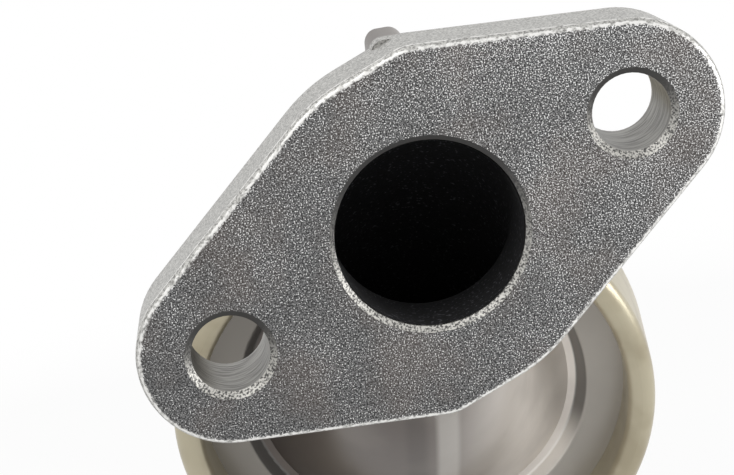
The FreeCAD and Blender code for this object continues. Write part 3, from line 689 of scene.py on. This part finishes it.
@dataclass(frozen=True)
class CastFinish:
    """The casting's skin.

    The flange's face is shot-blasted, with painted glints that grow thicker towards the upper right, its
    front edges carry two painted highlight lines, its sides and the neck are satin, the drilled edges have
    painted shade where they face down and painted highlights where they face up, and the plate inside the rim
    is turned, with painted light and shade on the dish and the recess wall.
    A band is where a mark starts, where it ends and how long each end takes. Each of metallic,
    roughness and calm is given for the flange's sides, the dish and, apart from calm, the face.
    """

    hole_radius: float = 4.45 * MM
    hole_reach: float = 26.0 * MM
    hole_tilt: float = math.radians(21.6)
    ring_width: float = 0.85 * MM
    wall_width: float = 0.12 * MM
    mask_soft: float = 0.08 * MM
    flange_depth: float = 10.7 * MM
    root_soft: float = 0.4 * MM
    face_fade: tuple = (0.16 * MM, 0.04 * MM)
    flat_fade: tuple = (0.06 * MM, 0.02 * MM)
    # The depths of the two painted highlight lines along the flange's rounded front edge.
    near_line: tuple = (0.0, 0.42 * MM, 0.14 * MM)
    far_line: tuple = (0.72 * MM, 1.1 * MM, 0.12 * MM)
    under_neck: tuple = (-12 * MM, -16 * MM)
    # Where the dish's painted shade on the left turns to painted light on the right.
    shade_gradient_range: tuple = (-4 * MM, 18 * MM)
    # Where the rib's painted shade and its painted highlight lie.
    flank_shade_band: tuple = (-5.2 * MM, -1.4 * MM, 1.3 * MM)
    ridge_highlight_band: tuple = (-1.2 * MM, 2.6 * MM, 1.0 * MM)
    recess_band: tuple = (5 * MM, 10 * MM, 0.5 * MM)
    step_band: tuple = (21.9 * MM, 23.5 * MM, 0.3 * MM)
    flat_start: float = 22.7 * MM
    # The facing over which the recess wall turns from painted shade to its painted highlight streak.
    painted_streak_range: tuple = (-0.75, -1.02)
    metallic: tuple = (0.55, 0.3, 0.35)
    roughness: tuple = (0.45, 0.34, 0.6)
    calm: tuple = (0.4, 0.05)
    bump_depth: float = 0.09 * MM
    face_dark: tuple = rgb(38, 38, 39)
    face_middle: tuple = rgb(124, 124, 124)
    # The colour of the face's painted glints.
    face_painted_glint: tuple = rgb(252, 252, 251)
    face_stain: tuple = rgb(120, 104, 94)
    side_dark: tuple = rgb(136, 135, 132)
    side_bright: tuple = rgb(196, 195, 191)
    # The colour of the painted highlight lines on the front edge.
    edge_painted_highlight: tuple = rgb(240, 239, 236)
    # The drilled edges' painted highlight where they face up and painted shade where they face down.
    ring_painted_highlight: tuple = rgb(214, 212, 206)
    ring_painted_shade: tuple = rgb(84, 83, 82)
    hole_dark: tuple = rgb(120, 118, 114)
    hole_bright: tuple = rgb(172, 170, 165)
    # The dish's painted shade at the left and painted light at the right.
    dish_left_painted_shade: tuple = rgb(90, 82, 77)
    dish_right_painted_light: tuple = rgb(230, 223, 215)
    dish_stain: tuple = rgb(128, 121, 113)
    plate_flat: tuple = rgb(148, 144, 137)
    # The rib's painted shade on its left flank and painted highlight on its ridge.
    rib_shade: tuple = rgb(70, 63, 58)
    rib_ridge_highlight: tuple = rgb(186, 182, 176)
    # The recess wall's painted shade and painted highlight.
    step_painted_shade: tuple = rgb(112, 110, 107)
    step_painted_highlight: tuple = rgb(252, 248, 242)

    def material(self, effects: Effects) -> bpy.types.Material:
        """Builds the material.

        Args:
            effects: the shared groups.

        Returns:
            The casting's material.
        """
        material, graph, shader = new_material("cast_aluminium")
        place = graph.place()
        x, depth, z = graph.axes(place)
        jitter = graph.math("SUBTRACT", graph.noise(place, 2400.0, 3.0), 0.5)
        loose = graph.math("ADD", depth, graph.product(jitter, 0.35 * MM))
        # Painted light: the share from X plus Z thickens the painted glints towards the upper right, so the
        # face is lighter there.
        blast = graph.group(
            effects.blast, Place=place, Scale=5200.0, Dark=self.face_dark, Middle=self.face_middle,
            Bright=self.face_painted_glint, Share=graph.product(graph.math("ADD", x, z), 0.9),
        )
        face = graph.group(
            effects.cloud, Place=place, Scale=110.0, Color=blast["Color"], Stain=self.face_stain, Amount=0.2
        )
        rings = graph.largest(*self.round_masks(graph, x, z, self.ring_width))
        rings = graph.product(rings, graph.ramp(depth, self.ring_width, self.ring_width - 0.1 * MM))
        outer = graph.product(graph.ramp(loose, *self.face_fade), graph.math("SUBTRACT", 1.0, rings))
        flat = graph.largest(outer, graph.ramp(depth, *self.flat_fade))
        behind = graph.ramp(depth, self.flange_depth - self.root_soft, self.flange_depth + self.root_soft)
        side = self.flange_side(graph, effects, place, loose)
        body = graph.mix(behind, side, self.dish(graph, effects, place))
        right, left, _ = self.round_masks(graph, x, z, self.wall_width)
        drilled = graph.mix(graph.largest(right, left), body, self.hole_wall(graph, place))
        edges = graph.mix(rings, drilled, self.drilled_ring(graph, place))
        graph.feed(shader.inputs["Base Color"], graph.mix(flat, edges, face["Color"]))
        for name, (on_side, on_dish, on_face) in (("Metallic", self.metallic), ("Roughness", self.roughness)):
            graph.feed(shader.inputs[name], graph.blend(flat, graph.blend(behind, on_side, on_dish), on_face))
        grain = graph.product(graph.noise(place, 2200.0, 3.0), graph.blend(behind, *self.calm))
        height = graph.blend(flat, grain, blast["Height"])
        graph.feed(shader.inputs["Normal"], graph.bump(height, 0.5, self.bump_depth))
        return material

    def flange_side(
        self, graph: Graph, effects: Effects, place: object, loose: object
    ) -> bpy.types.NodeSocket:
        """The flange's satin side, with a painted highlight line at each border of its rounded front edge.

        Args:
            graph: the material's graph.
            effects: the shared groups.
            place: the socket of the point's place.
            loose: the socket of the depth, ragged by noise.

        Returns:
            The colour's socket.
        """
        satin = graph.group(
            effects.blast, Place=place, Scale=3600.0, Dark=self.side_dark, Middle=self.side_bright,
            Bright=self.side_bright, Share=0.0,
        )
        # Painted highlight lines at both borders of the rounded front edge, broken up by noise.
        lines = graph.largest(graph.band(loose, *self.near_line), graph.band(loose, *self.far_line))
        broken = graph.ramp(graph.noise(place, 1500.0, 2.0), 0.32, 0.55)
        return graph.mix(graph.product(lines, broken), satin["Color"], self.edge_painted_highlight)

    def dish(self, graph: Graph, effects: Effects, place: object) -> bpy.types.NodeSocket:
        """The neck and the turned plate, with painted shade that makes it darker and browner to the left and
        painted light to the right.

        Under the neck, a painted highlight runs along the rib's ridge and painted shade lies on the stretch
        to its left. The recess wall has painted shade to the right and a painted highlight streak at its
        lower right.

        Args:
            graph: the material's graph.
            effects: the shared groups.
            place: the socket of the point's place.

        Returns:
            The colour's socket.
        """
        x, _, z = graph.axes(place)
        # Painted shade and light: the dish is darker and browner to the left and lighter to the right.
        tone = graph.mix(graph.ramp(x, *self.shade_gradient_range), self.dish_left_painted_shade, self.dish_right_painted_light)
        under = graph.ramp(z, *self.under_neck)
        # Painted shade on the rib's left flank and a painted highlight on its ridge, under the neck.
        for band, colour in ((self.flank_shade_band, self.rib_shade), (self.ridge_highlight_band, self.rib_ridge_highlight)):
            tone = graph.mix(graph.product(under, graph.band(x, *band), 0.6), tone, colour)
        stained = graph.group(
            effects.cloud, Place=place, Scale=90.0, Color=tone, Stain=self.dish_stain, Amount=0.25
        )
        left, up, along = graph.axes(graph.turned(place, CAN.centre, CAN.rotation))
        radius = graph.length(left, up)
        near = graph.band(along, *self.recess_band)
        flat = graph.product(near, graph.ramp(radius, self.flat_start, self.step_band[1]))
        plate = graph.mix(graph.product(flat, 0.8), stained["Color"], self.plate_flat)
        # Painted shade on the recess wall to the right and a painted highlight streak at its lower right.
        down = graph.math("DIVIDE", graph.math("ADD", graph.product(left, 0.5), up), radius)
        streak = graph.mix(graph.ramp(down, *self.painted_streak_range), self.step_painted_shade, self.step_painted_highlight)
        step = graph.product(near, graph.band(radius, *self.step_band))
        return graph.mix(graph.product(step, 0.92), plate, streak)

    def hole_wall(self, graph: Graph, place: object) -> bpy.types.NodeSocket:
        """A drilled wall, with fine lines round it.

        Args:
            graph: the material's graph.
            place: the socket of the point's place.

        Returns:
            The colour's socket.
        """
        scales = (300.0, 3600.0, 300.0)
        stretched = graph.joined(*(graph.product(*pair) for pair in zip(graph.axes(place), scales)))
        lines = graph.ramp(graph.noise(stretched, 1.0, 2.0), 0.35, 0.65)
        return graph.mix(lines, self.hole_dark, self.hole_bright)

    def drilled_ring(self, graph: Graph, place: object) -> bpy.types.NodeSocket:
        """The broken edge of a hole: painted shade where it faces down, painted sparkling highlights where it
        faces up.

        Args:
            graph: the material's graph.
            place: the socket of the point's place.

        Returns:
            The colour's socket.
        """
        up = graph.axes(graph.facing())[2]
        painted_sparkle = graph.ramp(graph.noise(place, 4200.0, 1.5), 0.36, 0.6)
        # Painted light by facing: sparkle where the edge faces up, shade where it faces down.
        share = graph.product(graph.ramp(up, -0.5, 0.5), painted_sparkle)
        return graph.mix(share, self.ring_painted_shade, self.ring_painted_highlight)

    def round_masks(self, graph: Graph, x: object, z: object, width: float) -> list[bpy.types.NodeSocket]:
        """Marks what lies close round the two bolt holes and round the bore.

        Args:
            graph: the material's graph.
            x: the socket of X.
            z: the socket of Z.
            width: how far each mark reaches past its hole's wall.

        Returns:
            The masks of the right hole, the left hole and the bore.
        """
        side = self.hole_reach * math.cos(self.hole_tilt)
        high = self.hole_reach * math.sin(self.hole_tilt)
        masks = []
        for spot_x, spot_z, wall in (
            (side, high, self.hole_radius),
            (-side, -high, self.hole_radius),
            (0.0, 0.0, BORE_R),
        ):
            radius = graph.length(graph.math("SUBTRACT", x, spot_x), graph.math("SUBTRACT", z, spot_z))
            masks.append(graph.ramp(radius, wall + width, wall + width - self.mask_soft))
        return masks


@dataclass(frozen=True)
class SteelFinish:
    """Bright or plated steel, with fine lines round the can's axis and faint stains."""

    name: str
    color: tuple
    stain: tuple
    stain_amount: float = 0.4
    roughness: float = 0.3
    line_depth: float = 0.01 * MM
    metallic: float = 0.9

    def material(self, effects: Effects) -> bpy.types.Material:
        """Builds the material.

        Args:
            effects: the shared groups.

        Returns:
            The steel's material.
        """
        material, graph, shader = new_material(self.name)
        place = graph.place()
        local = graph.turned(place, CAN.centre, CAN.rotation)
        lines = graph.group(effects.turning, Place=local, Across=2600.0, Along=2600.0)
        tone = graph.group(
            effects.cloud, Place=place, Scale=120.0, Color=self.color, Stain=self.stain,
            Amount=self.stain_amount,
        )
        graph.feed(shader.inputs["Base Color"], tone["Color"])
        shader.inputs["Metallic"].default_value = self.metallic
        rough = graph.blend(lines["Height"], self.roughness - 0.06, self.roughness + 0.08)
        graph.feed(shader.inputs["Roughness"], rough)
        graph.feed(shader.inputs["Normal"], graph.bump(lines["Height"], 0.5, self.line_depth))
        return material


@dataclass(frozen=True)
class SoftFinish:
    """Rubber and gasket sheet: dull, with a fine moulded grain."""

    name: str
    color: tuple
    dust: tuple
    roughness: float = 0.62
    grain: float = 2200.0

    def material(self, effects: Effects) -> bpy.types.Material:
        """Builds the material.

        Args:
            effects: the shared groups.

        Returns:
            The rubber's material.
        """
        material, graph, shader = new_material(self.name)
        place = graph.place()
        tone = graph.group(
            effects.cloud, Place=place, Scale=300.0, Color=self.color, Stain=self.dust, Amount=0.35
        )
        graph.feed(shader.inputs["Base Color"], tone["Color"])
        graph.feed(shader.inputs["Roughness"], graph.blend(tone["Mask"], self.roughness, 0.8))
        graph.feed(shader.inputs["Normal"], graph.bump(graph.noise(place, self.grain, 2.0), 0.4, 0.03 * MM))
        return material


@dataclass(frozen=True)
class Finishes:
    """The materials that the sub-assemblies share."""

    machined: bpy.types.Material
    plated: bpy.types.Material
    wire: bpy.types.Material
    bronze: bpy.types.Material
    rubber: bpy.types.Material
    sheet: bpy.types.Material

    @classmethod
    def make(cls, effects: Effects) -> "Finishes":
        """Makes every finish but the casting's.

        Args:
            effects: the shared groups.

        Returns:
            The finishes, in the order of this class.
        """
        listed = (
            SteelFinish(Slot.MACHINED.value, rgb(192, 191, 188), rgb(150, 146, 138), 0.3, 0.28),
            SteelFinish(Slot.PLATED.value, rgb(184, 176, 153), rgb(140, 128, 104), 0.45, 0.3, metallic=0.55),
            SteelFinish(Slot.SPRING.value, rgb(150, 150, 152), rgb(90, 86, 80), 0.4, 0.32),
            SteelFinish(Slot.BRONZE.value, rgb(186, 146, 88), rgb(120, 88, 50), 0.5, 0.4),
            SoftFinish(Slot.RUBBER.value, rgb(38, 38, 39), rgb(70, 68, 66)),
            SoftFinish(Slot.GASKET.value, rgb(74, 70, 64), rgb(104, 98, 88), 0.8, 900.0),
        )
        return cls(*(finish.material(effects) for finish in listed))


# Sub-assemblies


@dataclass
class Casting:
    """The outlet casting: the CAD solid, and the soot that lines its passage."""

    finish: CastFinish = field(default_factory=CastFinish)
    end_r: float = 12.4 * MM
    start_depth: float = 8.7 * MM
    end_depth: float = 8.6 * MM
    start_pull: float = 30.0 * MM
    end_pull: float = 50.0 * MM
    lean: float = 0.4
    soot_gap: float = 0.12 * MM
    soot_start: float = 0.75 * MM

    def centre_line(self, share: np.ndarray) -> tuple[np.ndarray, np.ndarray]:
        """The passage's middle line and the way each section faces.

        The line is a cubic that leaves the flange along +Y and meets the plate along the can's
        axis. A section faces a mix of +Y and the can's axis, and leans to the line's own way by
        a sine of the share.

        Args:
            share: values from 0 at the flange to 1 at the plate, as a column.

        Returns:
            The points and the unit normals of the sections.
        """
        start = np.array([0.0, self.start_depth, 0.0])
        end = np.array(CAN.centre) + CAN.rear * self.end_depth
        pull_start = np.array([0.0, self.start_pull, 0.0])
        pull_end = CAN.rear * self.end_pull
        rest = 1 - share
        points = start * rest**2 * (1 + 2 * share) + end * share**2 * (3 - 2 * share)
        points = points + pull_start * share * rest**2 - pull_end * share**2 * rest
        ways = (end - start) * 6 * share * rest + pull_start * rest * (1 - 3 * share)
        ways = ways + pull_end * share * (3 * share - 2)
        ways /= np.linalg.norm(ways, axis=1, keepdims=True)
        lean = self.lean * np.sin(np.pi * share)
        normals = (np.array([0.0, 1.0, 0.0]) * rest + CAN.rear * share) * (1 - lean) + ways * lean
        return points, normals / np.linalg.norm(normals, axis=1, keepdims=True)

    def soot_grid(self) -> np.ndarray:
        """The soot's skin: a tube just inside the bore and the passage.

        Each point is the middle line plus the section's radius along a direction at right angles
        to the section's normal. A straight stretch through the flange comes first.

        Returns:
            A grid along and round the passage.
        """
        share = np.linspace(0, 0.94, 60)[:, None]
        points, normals = self.centre_line(share)
        lead = np.linspace(self.soot_start, self.start_depth - 0.2 * MM, 10)[:, None]
        lead_points = lead * np.array([0.0, 1.0, 0.0])
        points = np.concatenate([lead_points, points])
        normals = np.concatenate([np.tile([0.0, 1.0, 0.0], (len(lead), 1)), normals])
        radius = BORE_R + (self.end_r - BORE_R) * np.concatenate([0 * lead, share]) - self.soot_gap
        first = np.cross(normals, [1.0, 0.0, 0.0])
        first /= np.linalg.norm(first, axis=1, keepdims=True)
        second = np.cross(normals, first)
        angle = np.linspace(0, 2 * np.pi, 96, endpoint=False)
        ring = np.cos(angle)[None, :, None] * first[:, None] + np.sin(angle)[None, :, None] * second[:, None]
        return points[:, None] + ring * radius[:, None]

    def soot_material(self, effects: Effects) -> bpy.types.Material:
        """Matt black soot with a few pale grains.

        Args:
            effects: the shared groups.

        Returns:
            The soot's material.
        """
        material, graph, shader = new_material("passage_soot")
        place = graph.place()
        grain = graph.group(
            effects.blast, Place=place, Scale=2300.0, Dark=rgb(14, 14, 15), Middle=rgb(26, 26, 28),
            Bright=rgb(92, 92, 96), Share=-0.07,
        )
        graph.feed(shader.inputs["Base Color"], grain["Color"])
        shader.inputs["Roughness"].default_value = 0.75
        graph.feed(shader.inputs["Normal"], graph.bump(grain["Height"], 0.5, 0.1 * MM))
        return material

    def build(self, nodes: dict[str, bpy.types.Object], effects: Effects) -> None:
        """Dresses the casting and lines its passage.

        Args:
            nodes: the frame's nodes by name.
            effects: the shared groups.
        """
        dress(nodes, ("outlet_body",), self.finish.material(effects))
        soot = surface("passage_soot", self.soot_grid(), self.soot_material(effects), wrap_columns=True)
        settle(soot, Body.HOUSING, Slot.CAST)


@dataclass
class SeatAndCheck:
    """The seat ring, the cage and the check plate with its light spring."""

    coil_r: float = 3.6 * MM
    wire_r: float = 0.25 * MM
    turns: float = 2.6
    closed: float = 0.8
    cage_back: float = 6.6 * MM
    plate_front: float = 11.0 * MM
    travel: float = 2.5 * MM

    def build(self, nodes: dict[str, bpy.types.Object], looks: Finishes) -> None:
        """Dresses the pieces and makes the spring.

        Args:
            nodes: the frame's nodes by name.
            looks: the shared finishes.
        """
        dress(nodes, ("valve_seat_ring", "check_cage", "check_plate"), looks.machined)
        grid = coil(self.coil_r, self.wire_r, self.cage_back, self.plate_front, self.turns, self.closed)
        spring = surface("check_spring_coil", grid, looks.wire, wrap_columns=True)
        settle(spring, Body.HOUSING, Slot.SPRING, "check_spring")
        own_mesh(spring)


@dataclass
class Can:
    """The rolled can, its hose spigot and the braze round the spigot's foot."""

    radius: float = 28.0 * MM
    spigot_depth: float = 23.9 * MM
    collar_r: float = 10.3 * MM
    braze: float = 0.9 * MM

    def braze_grid(self) -> np.ndarray:
        """The braze: a small round bead where the collar meets the can.

        Round the spigot by the angle a, the bead's middle is (R cos a, -sqrt(C^2 - R^2 cos^2 a),
        d + R sin a), with the collar's radius R, the can's radius C and the spigot's depth d.

        Returns:
            A grid round the spigot and round the bead.
        """
        angle = np.linspace(0, 2 * np.pi, 120, endpoint=False)[:, None]
        around = np.linspace(0, 2 * np.pi, 12, endpoint=False)[None, :]
        ripple = 1 + 0.08 * np.sin(23 * angle) + 0.05 * np.sin(41 * angle)
        reach = self.collar_r + self.braze * ripple * np.cos(around) * 0.5
        across = reach * np.cos(angle)
        drop = np.sqrt(self.radius**2 - across**2) + self.braze * 0.45 * ripple * np.sin(around)
        along = self.spigot_depth + reach * np.sin(angle)
        return CAN.at(np.stack([across, -drop, along], axis=-1))

    def build(self, nodes: dict[str, bpy.types.Object], looks: Finishes) -> None:
        """Dresses the can and lays the braze.

        Args:
            nodes: the frame's nodes by name.
            looks: the shared finishes.
        """
        dress(nodes, ("inlet_can", "inlet_spigot"), looks.plated)
        dress(nodes, ("can_gasket",), looks.sheet)
        bead = surface("spigot_braze", self.braze_grid(), looks.bronze, wrap_rows=True, wrap_columns=True)
        settle(bead, Body.HOUSING, Slot.BRONZE)


@dataclass
class Actuator:
    """The vacuum actuator: base, diaphragm, return spring, cover and nipple."""

    inner_r: float = 13.2 * MM
    outer_r: float = 19.0 * MM
    hub_r: float = 2.2 * MM
    edge_r: float = 25.0 * MM
    rubber: float = 1.0 * MM
    inner_depth: float = 42.3 * MM
    outer_depth: float = 44.7 * MM
    cup_back: float = 43.8 * MM
    cover_inside: float = 60.2 * MM
    travel: float = 6.0 * MM
    spring_r: float = 9.8 * MM
    wire_r: float = 0.9 * MM
    turns: float = 3.6
    closed: float = 0.9
    inner_lap: float = 0.4 * MM
    outer_lap: float = 0.5 * MM
    leg_start: float = 0.6 * MM
    braze: float = 0.45 * MM
    sectors: int = 12
    nipple_r: float = 2.5 * MM
    foot_depth: float = 62.2 * MM

    def sector_grid(self, index: int) -> np.ndarray:
        """One sector of the rubber: its middle line, offset to both sides and closed at its ends.

        Args:
            index: which sector.

        Returns:
            A grid of angle by outline point, in the valve's frame.
        """
        half = (self.outer_r - self.inner_r) / 2
        middle = (self.inner_r + self.outer_r) / 2
        arc = np.linspace(np.pi, 0, 25)
        inner = np.array([[self.hub_r, self.inner_depth], [self.inner_r - self.inner_lap, self.inner_depth]])
        leg = np.array([[self.inner_r, self.inner_depth + self.leg_start], [self.inner_r, self.outer_depth]])
        roll_base = self.outer_depth + self.rubber / 2
        roll = np.stack([middle + half * np.cos(arc), roll_base + half * np.sin(arc)], axis=-1)
        outer = np.array([[self.outer_r + self.outer_lap, self.outer_depth], [self.edge_r, self.outer_depth]])
        line = np.concatenate([inner, leg, roll, outer])
        way = np.gradient(line, axis=0)
        way /= np.linalg.norm(way, axis=1, keepdims=True)
        side = np.stack([-way[:, 1], way[:, 0]], axis=-1) * self.rubber / 2
        outline = np.concatenate([line + side, (line - side)[::-1]])
        outline = np.clip(outline, self.hub_r, None)
        start = 2 * np.pi * index / self.sectors
        angle = np.linspace(start, start + 2 * np.pi / self.sectors, 13)
        return turn_outline(outline[:, 0], outline[:, 1], angle)

    def build_diaphragm(self, rubber: bpy.types.Material) -> None:
        """Makes the rubber in sectors, each of which rolls between the clamp and the plates.

        Neighbours meet on a shared line, so no gap opens between them.

        Args:
            rubber: the black rubber.
        """
        for index in range(self.sectors):
            grid = self.sector_grid(index)
            piece = surface(f"diaphragm_sector_{index:02d}", grid, rubber, wrap_columns=True)
            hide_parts("diaphragm")
            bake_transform(piece)
            LOG.info("%s: %d faces", piece.name, len(piece.data.polygons))

    def build(self, nodes: dict[str, bpy.types.Object], looks: Finishes) -> None:
        """Dresses the actuator and makes its soft and sprung pieces.

        Args:
            nodes: the frame's nodes by name.
            looks: the shared finishes.
        """
        names = ("actuator_base", "diaphragm_plate", "spring_cup", "rear_cover", "vacuum_nipple")
        dress(nodes, names, looks.plated)
        dress(nodes, ("stem_seal",), looks.rubber)
        self.build_diaphragm(looks.rubber)
        grid = coil(self.spring_r, self.wire_r, self.cup_back, self.cover_inside, self.turns, self.closed)
        spring = surface("return_spring_coil", grid, looks.wire, wrap_columns=True)
        settle(spring, Body.HOUSING, Slot.SPRING, "return_spring")
        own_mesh(spring)
        around = np.linspace(0, 2 * np.pi, 12, endpoint=False)
        across = self.nipple_r + self.braze * np.cos(around)
        along = self.foot_depth + self.braze * np.sin(around)
        ring = turn_outline(across, along, np.linspace(0, 2 * np.pi, 64, endpoint=False))
        bead = surface("nipple_braze", ring, looks.bronze, wrap_rows=True, wrap_columns=True)
        settle(bead, Body.HOUSING, Slot.BRONZE)


# Studio


@dataclass(frozen=True)
class Lamp:
    """A soft lamp: a square one, or a cone where an angle is given."""

    name: str
    place: tuple
    aim: tuple
    power: float
    size: float
    cone: float = 0.0

    def light(self) -> bpy.types.Light:
        """The lamp's light, as wide as its size."""
        if self.cone:
            made = bpy.data.lights.new(self.name, "SPOT")
            made.spot_size = self.cone
            made.spot_blend = 1.0
            made.shadow_soft_size = self.size
        else:
            made = bpy.data.lights.new(self.name, "AREA")
            made.size = self.size
        made.energy = self.power
        return made

    def stand(self) -> None:
        """Stands the lamp in its place, facing its aim."""
        made = bpy.data.objects.new(self.name, self.light())
        turn = (Vector(self.aim) - Vector(self.place)).to_track_quat("-Z", "Y").to_matrix()
        made.matrix_world = Matrix.Translation(self.place) @ turn.to_4x4()
        bpy.context.scene.collection.objects.link(made)


@dataclass
class Studio:
    """White surroundings, soft lamps and the camera at the photograph's place."""

    focal: float = 122.6
    eye: tuple = (-0.02477, -0.26447, 0.07838)
    right: tuple = (0.98160, -0.11104, -0.15537)
    down: tuple = (-0.17992, -0.26489, -0.94735)
    forward: tuple = (0.06403, 0.95786, -0.27999)
    floor_gap: float = 0.5 * MM
    floor_side: float = 3.0
    white_range: tuple = (0.05, 0.3)
    white_share: float = 0.88
    ambient: float = 0.62
    lamps: tuple = (
        Lamp("top_lamp", (-0.3, -0.05, 0.58), (0, 0.03, -0.02), 1.4, 0.5),
        Lamp("lower_lamp", (-0.25, -0.2, -0.13), (0.021, 0.048, -0.057), 26.0, 0.02, math.radians(12)),
        Lamp("right_lamp", (0.55, -0.12, -0.08), (0, 0.05, -0.04), 3.0, 0.4),
    )

    def camera(self) -> None:
        """Stands the camera at the photograph's place and angle."""
        data = bpy.data.cameras.new("camera")
        data.lens = self.focal
        data.sensor_width = 36.0
        data.clip_start = 0.01
        data.clip_end = 20.0
        made = bpy.data.objects.new("camera", data)
        columns = np.stack([self.right, -np.array(self.down), -np.array(self.forward)], axis=1)
        matrix = Matrix(columns.tolist()).to_4x4()
        matrix.translation = Vector(self.eye)
        made.matrix_world = matrix
        bpy.context.scene.collection.objects.link(made)
        bpy.context.scene.camera = made

    def rays(self, graph: Graph, *kinds: str) -> bpy.types.NodeSocket:
        """Marks some kinds of ray.

        Args:
            graph: the material's or the world's graph.
            kinds: the first words of their names, such as Camera.

        Returns:
            The mask's socket.
        """
        path = graph.node("ShaderNodeLightPath")
        return graph.largest(*(path.outputs[f"Is {kind} Ray"] for kind in kinds))

    def world(self) -> None:
        """A plain white room, at full white for the camera and for mirrored and refracted rays."""
        world = bpy.data.worlds.new("white_room")
        bpy.context.scene.world = world
        world.use_nodes = True
        graph = Graph(world.node_tree)
        plain = world.node_tree.nodes["Background"]
        white = graph.node("ShaderNodeBackground")
        for made, strength in ((plain, self.ambient), (white, 1.0)):
            made.inputs["Color"].default_value = (1, 1, 1, 1)
            made.inputs["Strength"].default_value = strength
        seen = self.rays(graph, "Camera", "Glossy", "Transmission")
        output = world.node_tree.nodes["World Output"]
        graph.feed(output.inputs["Surface"], graph.layer(seen, plain.outputs[0], white.outputs[0]))

    def floor(self, low: float) -> None:
        """A pale floor just under the object. It turns white with distance and keeps a faint shadow.

        Args:
            low: the object's lowest height.
        """
        side = self.floor_side
        corners = np.array([[[-side, -side], [side, -side]], [[-side, side], [side, side]]])
        height = np.full((2, 2, 1), low - self.floor_gap)
        material, graph, shader = new_material("floor_white")
        shader.inputs["Base Color"].default_value = (0.93, 0.93, 0.93, 1)
        shader.inputs["Roughness"].default_value = 0.9
        shader.inputs["Specular IOR Level"].default_value = 0.1
        white = graph.node("ShaderNodeEmission")
        white.inputs["Strength"].default_value = 1.0
        x, y, _ = graph.axes(graph.place())
        far = graph.ramp(graph.length(x, y), *self.white_range)
        seen = self.rays(graph, "Camera", "Glossy")
        share = graph.product(seen, graph.largest(far, self.white_share))
        output = graph.tree.nodes["Material Output"]
        graph.feed(output.inputs["Surface"], graph.layer(share, shader.outputs[0], white.outputs[0]))
        made = surface("floor", np.concatenate([corners, height], axis=-1), material)
        made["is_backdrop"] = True

    def build(self, low: float) -> None:
        """Sets up the room, the lamps and the camera.

        Args:
            low: the object's lowest height.
        """
        self.world()
        self.floor(low)
        for lamp in self.lamps:
            lamp.stand()
        self.camera()
        bpy.context.scene.view_settings.view_transform = "Standard"


def main() -> None:
    """Builds the sub-assemblies, the studio and the camera."""
    logging.basicConfig(level=logging.INFO, format="%(name)s %(message)s")
    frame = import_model()
    cad_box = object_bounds()
    nodes = frame["nodes"]
    effects = Effects()
    looks = Finishes.make(effects)
    Casting().build(nodes, effects)
    SeatAndCheck().build(nodes, looks)
    Can().build(nodes, looks)
    dress(nodes, ("valve_disc", "valve_stem", "stem_washer", "stem_nut"), looks.machined)
    dress(nodes, ("valve_seal",), looks.rubber)
    dress(nodes, ("guide_bush",), looks.bronze)
    Actuator().build(nodes, looks)
    Studio().build(cad_box[0].z)


if __name__ == "__main__":
    main()
